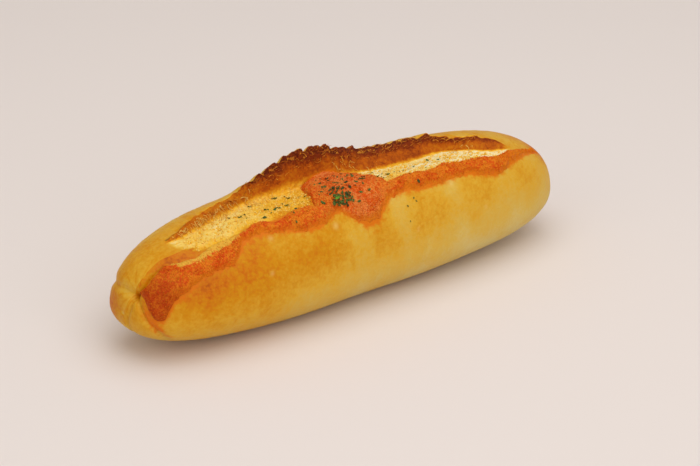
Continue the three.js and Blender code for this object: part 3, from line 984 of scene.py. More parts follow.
def relief_tree():
    """Fine relief on a surface: blisters on crust, crags in torn crumb, char on the rim."""
    tree, given = geometry_tree("Baked relief", {
        "Crust size": 0.004, "Crust height": 0.0002, "Torn size": 0.002, "Torn height": 0.0012,
        "Char size": 0.0019, "Char height": 0.002})
    crumb = named_value(tree, "crumb")
    bare = times(tree, calculate(tree, "SUBTRACT", 1.0, crumb), named_value(tree, "free"))
    torn = times(tree, crumb, named_value(tree, "rough"))
    height = noise_height(tree, given["Crust size"], 2.0, bare, given["Crust height"])
    height = added(tree, height, noise_height(
        tree, given["Torn size"], 1.5, torn, given["Torn height"]))
    height = added(tree, height, noise_height(
        tree, given["Char size"], 2.0, named_value(tree, "char"), given["Char height"]))
    return raised(tree, given, height)


def roe_relief_tree():
    """Uneven surface of the spread."""
    tree, given = geometry_tree("Roe relief", {"Size": 0.0016, "Height": 0.0007,
                                               "Broad size": 0.006, "Broad height": 0.0007})
    grainy = named_value(tree, "grainy")
    height = noise_height(tree, given["Size"], 3.0, grainy, given["Height"])
    height = added(tree, height, noise_height(
        tree, given["Broad size"], 2.0, grainy, given["Broad height"]))
    return raised(tree, given, height)


def random_number(tree, low, high, seed):
    """A random number for each point."""
    made = node(tree, "FunctionNodeRandomValue", {2: low, 3: high, "Seed": seed},
                data_type="FLOAT")
    return made.outputs[1]


def random_turn(tree, seed):
    """A random turn about all three directions."""
    whole = 2 * math.pi
    made = node(tree, "FunctionNodeRandomValue", {0: (0, 0, 0), 1: (whole, whole, whole),
                                                  "Seed": seed}, data_type="FLOAT_VECTOR")
    return made.outputs[0]


def close_scattered(tree, given, instances, tone):
    """Keeps a tone for each instance, for its colour, and ends the tree."""
    toned = node(tree, "GeometryNodeStoreNamedAttribute",
                 {"Geometry": instances, "Name": "tone", "Value": tone},
                 data_type="FLOAT", domain="INSTANCE").outputs[0]
    return close_tree(tree, given, toned)


def stood_on_points(tree, given, shape, direction, turn, pick=False):
    """A shape at each point, along the point's direction, as long as it says and turned about."""
    upright = node(tree, "FunctionNodeAlignRotationToVector", {
        "Vector": named_value(tree, direction, "FLOAT_VECTOR")}, axis="Z").outputs[0]
    placed = node(tree, "GeometryNodeInstanceOnPoints", {
        "Points": given["Geometry"], "Instance": shape, "Pick Instance": pick,
        "Rotation": upright, "Scale": named_value(tree, "length")}).outputs[0]
    about = node(tree, "ShaderNodeCombineXYZ", {"Z": turn}).outputs[0]
    return node(tree, "GeometryNodeRotateInstances", {"Instances": placed,
                                                      "Rotation": about}).outputs[0]


def grains_tree():
    """Grains scattered over a surface where its grainy attribute allows."""
    tree, given = geometry_tree("Scattered grains", {
        "Density": 3000000.0, "Smallest": 0.0001, "Largest": 0.0004, "Seed": 3})
    scattered = node(tree, "GeometryNodeDistributePointsOnFaces", {
        "Mesh": given["Geometry"], "Seed": given["Seed"],
        "Density": times(tree, named_value(tree, "grainy"), given["Density"])})
    grain = node(tree, "GeometryNodeMeshIcoSphere", {"Radius": 1.0, "Subdivisions": 1}).outputs[0]
    size = random_number(tree, given["Smallest"], given["Largest"], given["Seed"])
    placed = node(tree, "GeometryNodeInstanceOnPoints", {
        "Points": scattered.outputs["Points"], "Instance": grain, "Scale": size,
        "Rotation": random_turn(tree, 5)}).outputs[0]
    return close_scattered(tree, given, placed, random_number(tree, 0.0, 1.0, 8))


def strands_tree():
    """Thin curved threads, one at each point, along its lean and as long as it says."""
    tree, given = geometry_tree("Torn strands", {"Thickness": 0.06, "Curl": 0.35})
    middle = node(tree, "ShaderNodeCombineXYZ", {"X": given["Curl"], "Z": 0.55}).outputs[0]
    thread = node(tree, "GeometryNodeCurveQuadraticBezier",
                  {"Resolution": 7, "Start": (0, 0, -0.12), "Middle": middle,
                   "End": (0, 0, 1.0)}).outputs[0]
    along = node(tree, "GeometryNodeSplineParameter").outputs["Factor"]
    radius = times(tree, given["Thickness"],
                   calculate(tree, "SUBTRACT", 1.0, times(tree, along, 0.75)))
    ring = node(tree, "GeometryNodeCurvePrimitiveCircle", {"Resolution": 5, "Radius": 1.0}).outputs[0]
    tube = node(tree, "GeometryNodeCurveToMesh", {"Curve": thread, "Profile Curve": ring,
                                                  "Scale": radius, "Fill Caps": True}).outputs[0]
    placed = stood_on_points(tree, given, tube, "lean", random_number(tree, 0.0, 6.28, 4))
    return close_scattered(tree, given, placed, random_number(tree, 0.0, 1.0, 9))


def leaves_tree(kinds):
    """One of several leaves at each point, lying on the surface."""
    tree, given = geometry_tree("Strewn leaves", {})
    leaves = node(tree, "GeometryNodeJoinGeometry")
    for leaf in kinds:
        shape = node(tree, "GeometryNodeObjectInfo", {"Object": leaf}).outputs["Geometry"]
        single = node(tree, "GeometryNodeGeometryToInstance", {0: shape}).outputs[0]
        tree.links.new(single, leaves.inputs[0])
    placed = stood_on_points(tree, given, leaves.outputs[0], "up", named_value(tree, "turn"), True)
    return close_scattered(tree, given, placed, named_value(tree, "brightness"))


class LoafSettings(bpy.types.PropertyGroup):
    """Sizes and colours of the bread."""

    length: length_property("Length", "From end to end", 220)
    width: length_property("Width", "Across the widest line", 58.5)
    height: length_property("Height", "Of the crust's crest, without the ear", 53.5)
    crust_relief: length_property("Crust relief", "Height of the crust's unevenness", 0.35)
    torn_relief: length_property("Torn relief", "Height of the crags in the slit", 1.8)
    char_relief: length_property("Char relief", "Height of the crags on the rim", 2.4)
    crumb_grain: length_property("Crumb grain", "Largest crumb in the slit", 0.6)
    crumb_density: FloatProperty(name="Crumbs", description="Number to a square metre",
                                 default=700000, min=0)
    pale_crust: colour_property("Pale crust", "Near the base", 214, 190, 116)
    straw_crust: colour_property("Straw crust", "Lower side", 215, 176, 76)
    golden_crust: colour_property("Golden crust", "Upper side", 217, 164, 44)
    amber_crust: colour_property("Amber crust", "Well baked places", 208, 139, 6)
    brown_crust: colour_property("Brown crust", "Edges and folds", 202, 108, 2)
    dark_crust: colour_property("Dark crust", "The most baked places", 160, 66, 2)
    blister: colour_property("Blisters", "Pale raised spots", 238, 208, 138)
    cream_crumb: colour_property("Cream crumb", "Freshest inside", 240, 222, 166)
    pale_crumb: colour_property("Pale crumb", "Slit floor", 238, 202, 104)
    yellow_crumb: colour_property("Yellow crumb", "Toasted slit floor", 236, 178, 44)
    honey_crumb: colour_property("Honey crumb", "Wall of the slit", 210, 134, 14)
    orange_crumb: colour_property("Orange crumb", "Top of the wall", 180, 86, 3)
    brown_crumb: colour_property("Brown crumb", "Under the rim", 124, 44, 3)
    char: colour_property("Char", "Burnt rim", 94, 28, 3)
    # Painted highlight on the burnt rim's high spots, and also the darker tone of the rim threads
    char_highlight_and_thread_tone: colour_property("Light char", "High spots of the rim", 160, 70, 8)
    lace: colour_property("Rim threads", "Golden threads on the rim", 224, 146, 40)
    stain: colour_property("Roe stain", "Crust soaked by the roe", 216, 114, 6)


class RoeSettings(bpy.types.PropertyGroup):
    """Sizes and colours of the roe spread."""

    thickness: length_property("Thickness", "Over the crust", 1.5)
    grain: length_property("Grain", "Largest grain", 0.42)
    density: FloatProperty(name="Grains", description="Number to a square metre",
                           default=2200000, min=0)
    coral: colour_property("Coral", "Main colour", 210, 78, 5)
    grain_colour: colour_property("Grains", "Lighter grains along the band", 226, 128, 26)
    pink: colour_property("Pink", "Lighter grains of the pool", 232, 134, 66)
    deep: colour_property("Deep orange", "Thin edges", 216, 116, 12)
    toasted: colour_property("Toasted", "Baked near end", 176, 60, 2)
    film: colour_property("Film", "Where it has soaked into the crust", 224, 168, 58)


class ParsleySettings(bpy.types.PropertyGroup):
    """Sizes and colours of the parsley."""

    leaf_length: length_property("Leaf length", "Of the largest leaf", 3.2)
    bits: IntProperty(name="Fine bits", description="Number of small bits", default=110, min=0)
    seed: IntProperty(name="Seed", description="Of the draw that places the leaves", default=7)
    dark_leaf: colour_property("Dark leaf", "Most dried", 56, 64, 26)
    leaf: colour_property("Leaf", "Usual colour", 96, 118, 48)
    bright_leaf: colour_property("Bright leaf", "Least dried", 116, 172, 46)


class StageSettings(bpy.types.PropertyGroup):
    """Floor, light and viewpoint."""

    floor: colour_property("Floor", "Colour of the floor", 232, 222, 216)
    surround: colour_property("Surround", "Colour of the light from all round", 255, 250, 246)
    surround_strength: FloatProperty(name="Surround strength", default=0.43, min=0,
                                     description="Brightness of the light from all round")
    key_power: FloatProperty(name="Overhead light", description="Power of the light above",
                             default=5, min=0, unit="POWER")
    fill_power: FloatProperty(name="Front light", description="Power of the light in front",
                              default=24, min=0, unit="POWER")
    side_power: FloatProperty(name="Side light", description="Power of the light at the near end",
                              default=4, min=0, unit="POWER")


class BAGUETTE_OT_stage(bpy.types.Operator):
    """Makes the floor, the lights and the camera"""

    bl_idname = "baguette.stage"
    bl_label = "Floor, Lights and Camera"

    def execute(self, context):
        look = context.scene.baguette_stage
        scene = context.scene
        scene.view_settings.view_transform = "Standard"
        floor = add_object("floor", bpy.data.meshes.new("floor"))
        side = 4.0
        floor.data.from_pydata([(-side, -side, 0), (side, -side, 0), (side, side, 0),
                                (-side, side, 0)], [], [(0, 1, 2, 3)])
        material, _, shader, _ = new_material("Pale floor")
        shader.inputs["Base Color"].default_value = (*look.floor, 1)
        shader.inputs["Roughness"].default_value = 0.9
        shader.inputs["Specular IOR Level"].default_value = 0.2
        floor.data.materials.append(material)
        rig.stage(floor)
        world = bpy.data.worlds.new("Soft surround")
        world.use_nodes = True
        surround = world.node_tree.nodes["Background"]
        surround.inputs[0].default_value = (*look.surround, 1)
        surround.inputs[1].default_value = look.surround_strength
        scene.world = world
        self.light("overhead", (0.02, -0.12, 0.95), 1.1, look.key_power)
        self.light("front", (-0.3, -2.3, 1.6), 2.4, look.fill_power)
        self.light("side", (-1.6, -0.5, 0.8), 1.4, look.side_power)
        self.camera(scene)
        return {"FINISHED"}

    def light(self, name, place, size, power):
        """A square soft light that points at the loaf."""
        lamp = bpy.data.lights.new(name, "AREA")
        lamp.shape = "SQUARE"
        lamp.size = size
        lamp.energy = power
        made = bpy.data.objects.new(name, lamp)
        made.location = place
        made.rotation_mode = "QUATERNION"
        made.rotation_quaternion = (-Vector(place)).to_track_quat("-Z", "Y")
        bpy.context.scene.collection.objects.link(made)

    def camera(self, scene):
        """The camera at the photograph's viewpoint."""
        lens = bpy.data.cameras.new("viewpoint")
        lens.sensor_width = SENSOR
        lens.lens = LENS
        turn, tilt = math.radians(VIEW["azimuth"]), math.radians(VIEW["elevation"])
        back = Vector((math.sin(turn) * math.cos(tilt), -math.cos(turn) * math.cos(tilt),
                       math.sin(tilt)))
        made = bpy.data.objects.new("viewpoint", lens)
        made.location = (Vector(VIEW["target"]) + back * VIEW["distance"]) * MM
        made.rotation_mode = "QUATERNION"
        made.rotation_quaternion = (-back).to_track_quat("-Z", "Y")
        lens.clip_start, lens.clip_end = 0.01, 100
        scene.collection.objects.link(made)
        scene.camera = made


def loaf_rows(length, count):
    """Where the rows of points lie along the loaf, closer together at the ends."""
    u = 2 * np.arange(1, count) / count - 1
    return length / 2 * (1.25 * u - 0.25 * u ** 5)


def wrinkle_shade(points):
    """Painted shade: fine darker lines that run out from where the dough is folded at the near end, in place of the
    shade in its wrinkles.
    """
    across, up = points[..., 1] - KNOT[1], points[..., 2] - KNOT[2]
    reach = np.hypot(across, up)
    lines = np.abs(np.sin(WRINKLES["count"] * np.arctan2(up, across) + 0.22 * reach))
    return WRINKLES["darker"] * rise(0.4, 0, lines) * rise(1, 3, reach) * rise(15, 5, reach)


def crust_level(x, c, points):
    """How browned the crust is: by height, by place along the loaf and in patches, with painted shade along the
    creases and their fine wrinkles, paler painted light beside the creases, and a browner near end that is partly
    painted shade.
    """
    z = points[..., 2]
    front = FRONT_BAKE["foot"] + FRONT_BAKE["top"] * rise(4, 36, z)
    front = front + FRONT_BAKE["far_foot"] * rise(-10, 60, x) * rise(50, 14, z)
    # Partly real baking, partly painted shade: the near end's front is darker where it gets less light
    front = front + FRONT_BAKE["near_end"] * rise(10, -68, x)
    back = BACK_BAKE["foot"] + BACK_BAKE["top"] * rise(4, 30, z)
    back = back + BACK_BAKE["near_end"] * rise(-40, -80, x)
    back = back + BACK_BAKE["far_end"] * rise(56, 84, x)
    crust = np.where(c < 4.5, front, back)
    under = UNDER_BAKE["middle"] + UNDER_BAKE["ends"] * rise(0, 60, np.abs(x))
    crust = crust + (under - crust) * rise(3.5, 0.3, z)
    for at, reach, amount in BAKE_PATCHES:
        crust = crust + mound(points, at, reach, amount)
    streak = bump_at(distance_to_path(points, TOASTED_STREAK), 3)
    crust = crust + FOLD_BAKE_AND_SHADING["streak"] * streak
    # Painted shade darkens the bottom of each crease, painted light pales its sides, and painted shade draws the fine
    # wrinkles
    near = x < CREASE_END
    for crease in CREASES:
        apart = distance_to_path(points[near], crease["path"])
        crust[near] += FOLD_BAKE_AND_SHADING["line"] * bump_at(apart, 0.5)
        crust[near] += FOLD_BAKE_AND_SHADING["sides"] * bump_at(apart, 2)
    crust[near] += wrinkle_shade(points[near])
    return crust


def floor_level(x, f):
    """How toasted the slit's floor is: most at the lip and before the pool, least beyond it."""
    floor = FLOOR_BAKE["middle"] + FLOOR_BAKE["lip"] * rise(0.5, 0.05, f)
    floor = floor + FLOOR_BAKE["before_pool"] * rise(-54, -36, x) * rise(0, -8, x)
    floor = floor + FLOOR_BAKE["near_end"] * rise(-66, -44, x)
    floor = floor + FLOOR_BAKE["past_pool"] * rise(0, 20, x)
    return floor + FLOOR_BAKE["far_end"] * rise(34, 54, x)


def wall_level(x, f):
    """How toasted the slit's wall is: more towards its top, and sooner where it is low."""
    top = TALL_WALL_BAKE["top"] + TALL_WALL_BAKE["near_top"] * rise(-26, -50, x)
    tall = TALL_WALL_BAKE["foot"] + top * rise(0.03, 0.45, f)
    short = SHORT_WALL_BAKE["foot"] + SHORT_WALL_BAKE["far_end"] * rise(40, 56, x)
    short = short + SHORT_WALL_BAKE["top"] * rise(0, 0.2, f)
    rim = TALL_WALL_BAKE["rim"] * rise(0.5, 0.95, f) * rise(-50, -25, x)
    return part_way(tall, short, rise(0, 22, x)) + rim


def stain_level(form, roe, x, c, points):
    """How far the roe has soaked into the crust near its edges."""
    angle, _, _ = form.angle(x, c)
    _, high, _ = roe.edges(x)
    below = (angle - np.radians(roe_lower_degrees(x))) * ROE_RADIUS
    reach = 1.1 + 1.2 * bump_at(x - 1, 9) + 1.6 * rise(-88, -100, x)
    lower = np.exp(-np.maximum(below, 0) / reach)
    upper = np.exp(-np.maximum(c - high, 0) * 22)
    upper = upper * rise(high - 0.1, high + 0.1, roe_soaked(x))
    ends = rise(ROE_START + 0.5, ROE_START + 3, x) * rise(ROE_END + 3, ROE_END - 1, x)
    streak = bump_at(distance_to_path(points, TOASTED_STREAK), 2.3)
    return np.maximum(np.where(c < 4, lower, upper) * ends * (c < 6), streak)


def torn_share(x, c):
    """1 where the slit has torn open, 0 before its ragged near edge."""
    start = TORN_FROM - TORN_SLANT * np.clip(c - 4, 0, 1) + 1.3 * ragged(20 * c, 3.0)
    return rise(start - 3, start + 2, x)


def band_share(x):
    """How much of the wall's height the burnt band takes."""
    return np.clip(char_band(x) / (slit_depth(x) + ear_height(x) + 0.5), 0, 0.7)


def char_level(x, k, f):
    """How burnt the rim is, before and behind its edge."""
    before = np.where(k == 5, 1 - (1 - f) / band_share(x), 0)
    behind = np.where(k == 6, 1 - f * 9 / CHAR_BEHIND, 0) * rise(56, 34, x)
    burnt = np.clip(before + behind, 0, 1) * rise(0.2, 1.5, slit_depth(x))
    return ease(burnt * char_strength(x))


def mark_zones(mesh, form, roe, x, c, points):
    """Marks the crust, crumb, burnt and stained parts of the loaf."""
    _, k, f = form.angle(x, c)
    depth = slit_depth(x)
    inside = rise(0.05, 1.1, depth) * rise(4.0, 4.12, c) * rise(6.06, 5.98, c)
    inside = inside * torn_share(x, c)
    crust = crust_level(x, c, points)
    torn = np.select([k == 4, k == 5], [floor_level(x, f), wall_level(x, f)], crust)
    blister = sum(mound(points, at, reach, FOLD_BAKE_AND_SHADING["blister"]) for at, reach in PALE_BLISTERS)
    store(mesh, "bake", np.clip(crust + (torn - crust) * inside, 0, 1))
    store(mesh, "crumb", inside)
    store(mesh, "char", char_level(x, k, f))
    store(mesh, "rough", rise(0.0, 2.0, depth) * np.where(k == 5, rise(0.5, 0.1, f), 1))
    store(mesh, "stain", stain_level(form, roe, x, c, points))
    store(mesh, "blister", np.clip(blister, 0, 1))
    store(mesh, "free", rise(0.5, 3, points[..., 2]))


class BAGUETTE_OT_loaf(bpy.types.Operator):
    """Makes the bread with its crust, its slit and its ear"""

    bl_idname = "baguette.loaf"
    bl_label = "Loaf"

    def execute(self, context):
        look = context.scene.baguette_loaf
        form = LoafForm(look)
        roe = RoeForm(form, context.scene.baguette_roe)
        columns = np.concatenate([k + np.arange(n) / n for k, n in enumerate(LOAF_CELLS)])
        x, c = np.meshgrid(loaf_rows(form.length, LOAF_ROWS), columns, indexing="ij")
        points = form.crust(x, c)
        ends = [(0.4 - form.length / 2, -BEND, form.waist), (form.length / 2, -BEND, form.waist)]
        mesh = grid_mesh("loaf_crust", points, True, ends)
        mark_zones(mesh, form, roe, x, c, points)
        source = add_object("loaf_source", mesh)
        piece = finished(source, relief_tree(), "loaf_crust", Crust_height=look.crust_relief,
                         Torn_height=look.torn_relief, Char_height=look.char_relief,
                         Material=bread_material(look))
        dress(piece, "crust", "loaf")
        return {"FINISHED"}


class BAGUETTE_OT_roe(bpy.types.Operator):
    """Makes the roe spread and its grains"""

    bl_idname = "baguette.roe"
    bl_label = "Roe Spread"

    def execute(self, context):
        look = context.scene.baguette_roe
        loaf = LoafForm(context.scene.baguette_loaf)
        material = roe_material(look)
        points, marks = self.sheet(RoeForm(loaf, look), loaf)
        mesh = grid_mesh("roe_spread", points, True, more=self.end_faces(*points.shape[:2]))
        for name, values in marks.items():
            store(mesh, name, np.hstack([values, 0 * values]))
        source = add_object("roe_source", mesh)
        grains = add_object("grain_source", mesh.copy())
        piece = finished(source, roe_relief_tree(), "roe_layer", Material=material)
        dress(piece, "roe", "roe_spread")
        grains = finished(grains, grains_tree(), "roe_grains", Material=material,
                          Density=look.density, Smallest=look.grain * 0.5, Largest=look.grain)
        dress(grains, "roe", "roe_spread")
        return {"FINISHED"}

    def sheet(self, form, loaf):
        """Points over and then under the spread, row by row, and what the upper ones are."""
        along = np.linspace(ROE_START, ROE_END, ROE_ROWS)
        low, high, _ = form.edges(along)
        low = low + 0.07 * ragged(along, 2.1)
        high = high + 0.02 * ragged(along, 5.3)
        front = np.linspace(0, 1, ROE_CELLS[0], endpoint=False)
        floor = np.linspace(0, 1, ROE_CELLS[1])
        c = np.hstack([part_way(low[:, None], 4, front), part_way(4, high[:, None], floor)])
        x = np.broadcast_to(along[:, None], c.shape)
        below = (c - low[:, None]) * ROE_FRONT_SPAN
        beyond = (high[:, None] - c) * ROE_FLOOR_SPAN
        ends = np.minimum(x - ROE_START, (ROE_END - x) / 3)
        full = rise(0, 2.6, np.minimum(below, ends)) * rise(0, 1.2, beyond)
        depth = form.depth(x, c) * full + 0.05 * (1 - full)
        depth = depth * (1 - 0.45 * rise(80, 98, x))
        top = loaf.crust(x, c, depth)
        under = loaf.crust(x, c, np.full(c.shape, ROE_SINK))
        fade = 2.8 + 3.5 * rise(-84, -98, x) + 1.5 * bump_at(x + 1, 7)
        lower = np.maximum(rise(1, 0.1, below / fade), 0.85 * rise(62, 96, x))
        toast = rise(-88, -102, x) * rise(48, 32, top[..., 2])
        soaked = rise(roe_soaked(x) - 0.12, roe_soaked(x) + 0.18, c)
        return np.hstack([top, under[:, ::-1]]), {
            "edge": lower * 0.8, "toast": toast * 0.75, "soaked": soaked,
            "fresh": bump_at(x + 5, 14), "grainy": full * (1 - 0.3 * toast) * (1 - 0.7 * soaked)}

    def end_faces(self, rows, columns):
        """Faces that close the two open ends of the rolled sheet."""
        faces = []
        for first, turn in ((0, 1), ((rows - 1) * columns, -1)):
            last = first + columns - 1
            for j in range(columns // 2 - 1):
                faces.append((first + j, first + j + 1, last - j - 1, last - j)[::turn])
        return faces


class BAGUETTE_OT_torn_crumb(bpy.types.Operator):
    """Makes the torn threads and crumbs of the slit and the burnt threads on the rim"""

    bl_idname = "baguette.torn_crumb"
    bl_label = "Torn Crumb"

    def execute(self, context):
        look = context.scene.baguette_loaf
        form = LoafForm(look)
        self.crumbs(form, look)
        self.wall_threads(form, look)
        self.rim_threads(form, look)
        return {"FINISHED"}

    def crumbs(self, form, look):
        """Small crumbs all over the slit's floor."""
        ground = CRUMB_GROUND
        x, c = np.meshgrid(np.linspace(ground["from"], ground["to"], ground["rows"]),
                           np.linspace(ground["low"], ground["high"], ground["columns"]),
                           indexing="ij")
        mesh = grid_mesh("crumb_ground", form.crust(x, c, np.zeros(x.shape)), False)
        _, high, _ = RoeForm(form, bpy.context.scene.baguette_roe).edges(x)
        free = rise(0.3, 2.5, slit_depth(x)) * rise(0.02, 0.1, c - high) * rise(4.98, 4.86, c)
        store(mesh, "grainy", free * torn_share(x, c))
        light = strand_material("Torn crumb", look.pale_crumb, look.yellow_crumb, 0.85)
        piece = finished(add_object("crumb_source", mesh), grains_tree(), "torn_crumbs",
                         Density=look.crumb_density, Smallest=look.crumb_grain * 0.3,
                         Largest=look.crumb_grain, Seed=12, Material=light)
        dress(piece, "crust", "loaf")

    def wall_threads(self, form, look):
        """Pale threads in tufts, up from the slit's floor or hanging on its wall."""
        draw = draw_from(31)
        x, c, lengths, lean = [], [], [], []
        tufts = [(*tuft, False) for tuft in RISING_TUFTS]
        tufts += [(*tuft, True) for tuft in HANGING_TUFTS]
        for middle, count, hangs in tufts:
            tilt = 1.6 * (draw() - 0.5)
            for _ in range(count):
                x.append(middle + 6 * (draw() - 0.5))
                c.append(5.3 + 0.45 * draw() if hangs else 4.8 + 0.4 * draw())
                lengths.append(1.3 + 2.4 * draw() * draw())
                sway = tilt + 3 * (draw() - 0.5)
                lean.append((0.8 * sway, -0.5, -0.7) if hangs else (sway, 0.5, 0.9))
        points = form.crust(np.array(x), np.array(c), np.zeros(len(x)))
        pale = strand_material("Pale threads", look.pale_crumb, look.honey_crumb, 0.7)
        self.threads("wall_threads", points, lean, lengths, pale, 0.07)

    def rim_threads(self, form, look):
        """Curled golden threads that lie along the burnt band."""
        draw = draw_from(57)
        each = range(RIM_THREADS["count"])
        x = np.array([part_way(RIM_THREADS["from"], RIM_THREADS["to"], draw()) for _ in each])
        share = np.array([draw() for _ in each])
        c = 5.97 - 1.1 * band_share(x) * share
        points = form.crust(x, c, np.full(x.shape, RIM_THREADS["lift"]))
        side = np.array([[1.0 if draw() > 0.5 else -1.0, 0, 0.3] for _ in each])
        wild = np.array([[draw() - 0.5, draw() - 0.5, draw() - 0.5] for _ in each])
        lean = side + 0.05 * form.outward(x, c) + 0.7 * wild
        lengths = [1.1 + 2.2 * draw() * draw() for _ in each]
        dark = strand_material("Rim threads", look.lace, look.char_highlight_and_thread_tone, 0.55)
        self.threads("rim_threads", points, lean, lengths, dark, 0.08)

    def threads(self, name, points, lean, lengths, material, thickness):
        """One thread at each point."""
        mesh = bpy.data.meshes.new(name)
        mesh.from_pydata((points * MM).tolist(), [], [])
        store(mesh, "lean", np.array(lean), "FLOAT_VECTOR")
        store(mesh, "length", np.array(lengths) * MM)
        piece = finished(add_object(f"{name}_source", mesh), strands_tree(), name,
                         Thickness=thickness, Curl=THREAD_CURL, Material=material)
        dress(piece, "crust", "loaf")


def leaf_mesh(name, seed):
    """A small curled leaf with a ragged edge, one long, with an upper and a lower face."""
    draw = draw_from(seed)
    rim, thin = 9, 0.02
    points = [(0, 0, thin * side) for side in (-1, 1)]
    reach = [0.3 + 0.14 * draw() if k % 2 else 0.44 + 0.06 * draw() for k in range(rim)]
    lift = [0.34 * (draw() - 0.35) for _ in range(rim)]
    for side in (-1, 1):
        for k in range(rim):
            t = 2 * math.pi * k / rim
            points.append((reach[k] * math.cos(t), 0.5 * reach[k] * math.sin(t),
                           lift[k] + thin * side))
    faces = []
    for k in range(rim):
        m = (k + 1) % rim
        low, high = 2, 2 + rim
        faces.append((0, low + m, low + k))
        faces.append((1, high + k, high + m))
        faces.append((low + k, low + m, high + m, high + k))
    mesh = bpy.data.meshes.new(name)
    mesh.from_pydata(points, [], faces)
    return mesh


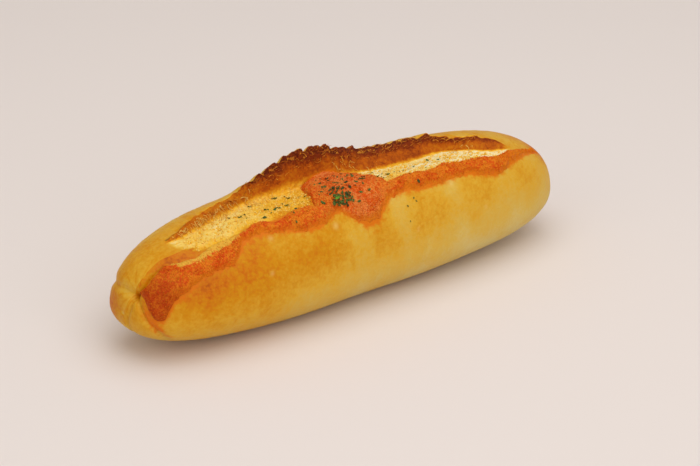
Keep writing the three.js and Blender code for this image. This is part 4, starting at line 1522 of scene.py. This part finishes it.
class BAGUETTE_OT_parsley(bpy.types.Operator):
    """Makes the parsley leaves on the roe and in the slit"""

    bl_idname = "baguette.parsley"
    bl_label = "Parsley"

    def execute(self, context):
        look = context.scene.baguette_parsley
        self.loaf = LoafForm(context.scene.baguette_loaf)
        self.roe = RoeForm(self.loaf, context.scene.baguette_roe)
        self.longest = look.leaf_length / MM
        self.spots = []
        self.on_bread(draw_from(look.seed))
        self.on_roe(draw_from(look.seed + 4))
        self.heap(draw_from(look.seed + 40))
        self.bits(draw_from(look.seed + 90), look.bits)
        places, ups, lengths, turns, bright = (np.array(v) for v in zip(*self.spots))
        mesh = bpy.data.meshes.new("leaf_spots")
        mesh.from_pydata((places * MM).tolist(), [], [])
        store(mesh, "up", ups, "FLOAT_VECTOR")
        store(mesh, "length", lengths * MM)
        store(mesh, "turn", turns)
        store(mesh, "brightness", bright)
        kinds = [add_object(f"leaf_{k}", leaf_mesh(f"leaf_{k}", 11 + 5 * k)) for k in range(4)]
        piece = finished(add_object("leaf_source", mesh), leaves_tree(kinds), "parsley_flakes",
                         Material=parsley_material(look))
        for leaf in kinds:
            bpy.data.objects.remove(leaf)
        dress(piece, "parsley", "loaf", "roe_spread")
        return {"FINISHED"}

    def lay(self, x, c, lift, draw, size=1.0):
        """Keeps one leaf raised off the loaf at x and c, turned and sized by the draw."""
        x, c = np.atleast_1d(x), np.atleast_1d(c)
        turn = 2 * math.pi * draw()
        length = size * self.longest * (0.5 + 0.5 * draw())
        tilt = np.array([draw() - 0.5 for _ in range(3)]) * LEAF_TILT
        self.spots.append((self.loaf.crust(x, c, np.atleast_1d(lift))[0],
                           self.loaf.outward(x, c)[0] + tilt, length, turn,
                           0.75 * ((turn * 7.3) % 1)))

    def lay_on_roe(self, x, c, draw):
        """Keeps one leaf on the spread."""
        self.lay(x, c, self.roe.depth(x, c) + LEAF_LIFT["roe"], draw)

    def on_bread(self, draw):
        """Leaves strewn on the bare floor of the slit."""
        for patch in FLOOR_FLAKES:
            for i in range(patch["count"]):
                share = (i + 0.2 + 0.6 * draw()) / patch["count"]
                x = part_way(patch["from"], patch["to"], share)
                c = part_way(patch["low"], patch["high"], draw())
                self.lay(x, c, LEAF_LIFT["bread"], draw)

    def on_roe(self, draw):
        """Leaves spread over the pool, and a few along the band."""
        for along, across, _ in spiral(POOL_FLAKES["count"]):
            x = np.array([POOL_FLAKES["x"] + POOL_FLAKES["spread_x"] * along])
            c = POOL_FLAKES["c"] + POOL_FLAKES["spread_c"] * across
            _, high, _ = self.roe.edges(x)
            self.lay_on_roe(x, np.minimum(c, part_way(4, high, FLAKE_LIMIT)), draw)
        for i in range(BAND_FLAKES["count"]):
            share = (i + 0.5) / BAND_FLAKES["count"]
            x = np.array([part_way(BAND_FLAKES["from"], BAND_FLAKES["to"], share)])
            low, high, _ = self.roe.edges(x)
            across = part_way(BAND_FLAKES["low"], BAND_FLAKES["high"], draw())
            self.lay_on_roe(x, part_way(low, high, across), draw)

    def heap(self, draw):
        """A pile of leaves in the middle of the pool, with the brightest on top."""
        for along, across, out in spiral(HEAP["count"]):
            x = np.array([HEAP["x"] + HEAP["reach"] * along])
            c = np.array([HEAP["c"] + HEAP["reach"] / ROE_FLOOR_SPAN * across])
            lift = self.roe.depth(x, c) + LEAF_LIFT["roe"] + HEAP["lift"] * (1 - out) * draw()
            self.lay(x, c, lift, draw)
        x, c = np.array([HEAP["x"] - 2.5]), np.array([HEAP["c"]])
        self.spots.append((self.loaf.crust(x, c, self.roe.depth(x, c) + 1.3)[0],
                           (0.0, -0.5, 0.85), 1.15 * self.longest, 0.4, 1.0))

    def bits(self, draw, count):
        """Fine bits between the leaves, and a few on the front."""
        for _ in range(count):
            x = np.array([-8 + 34 * (draw() + draw() + draw() - 1.5)])
            c = np.array([4.0 + 0.85 * draw()])
            _, high, _ = self.roe.edges(x)
            on_roe = self.roe.depth(x, c) + LEAF_LIFT["bit_on_roe"]
            lift = on_roe if c[0] < high[0] else LEAF_LIFT["bit_on_bread"]
            self.lay(x, c, lift, draw, size=0.24 + 0.34 * draw())
        for _ in range(FRONT_BITS["count"]):
            x = part_way(FRONT_BITS["from"], FRONT_BITS["to"], draw())
            c = part_way(FRONT_BITS["low"], FRONT_BITS["high"], draw())
            self.lay(x, c, LEAF_LIFT["front"], draw, size=0.5)


class BAGUETTE_PT_builder(bpy.types.Panel):
    """Lists the pieces of the baguette with their sizes and colours"""

    bl_idname = "BAGUETTE_PT_builder"
    bl_label = "Baguette"
    bl_space_type = "VIEW_3D"
    bl_region_type = "UI"
    bl_category = "Baguette"

    def draw(self, context):
        for operator, settings in STEPS:
            box = self.layout.box()
            box.operator(operator.bl_idname)
            group = getattr(context.scene, settings, None)
            for key in group.bl_rna.properties.keys() if group else ():
                if key not in {"rna_type", "name"}:
                    box.prop(group, key)


STEPS = (
    (BAGUETTE_OT_stage, "baguette_stage"),
    (BAGUETTE_OT_loaf, "baguette_loaf"),
    (BAGUETTE_OT_roe, "baguette_roe"),
    (BAGUETTE_OT_torn_crumb, ""),
    (BAGUETTE_OT_parsley, "baguette_parsley"),
)
SETTINGS = {
    "baguette_stage": StageSettings,
    "baguette_loaf": LoafSettings,
    "baguette_roe": RoeSettings,
    "baguette_parsley": ParsleySettings,
}
CLASSES = (*SETTINGS.values(), *(operator for operator, _ in STEPS), BAGUETTE_PT_builder)


def register():
    """Adds the settings, the operators and the panel."""
    for cls in CLASSES:
        bpy.utils.register_class(cls)
    for name, cls in SETTINGS.items():
        setattr(bpy.types.Scene, name, PointerProperty(type=cls))


def unregister():
    """Takes them out again."""
    for name in SETTINGS:
        delattr(bpy.types.Scene, name)
    for cls in reversed(CLASSES):
        bpy.utils.unregister_class(cls)


def main():
    """Builds the stage and every piece, and writes both boxes."""
    register()
    bpy.ops.baguette.stage()
    bpy.ops.baguette.loaf()
    bpy.ops.baguette.roe()
    bpy.ops.baguette.torn_crumb()
    bpy.ops.baguette.parsley()
    boxes = {"cad": [list(v) for v in CAD_BOX], "visual": [list(v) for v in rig.bounds()]}
    with open("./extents.json", "w") as file:
        json.dump(boxes, file, indent=1)


if __name__ == "__main__":
    main()
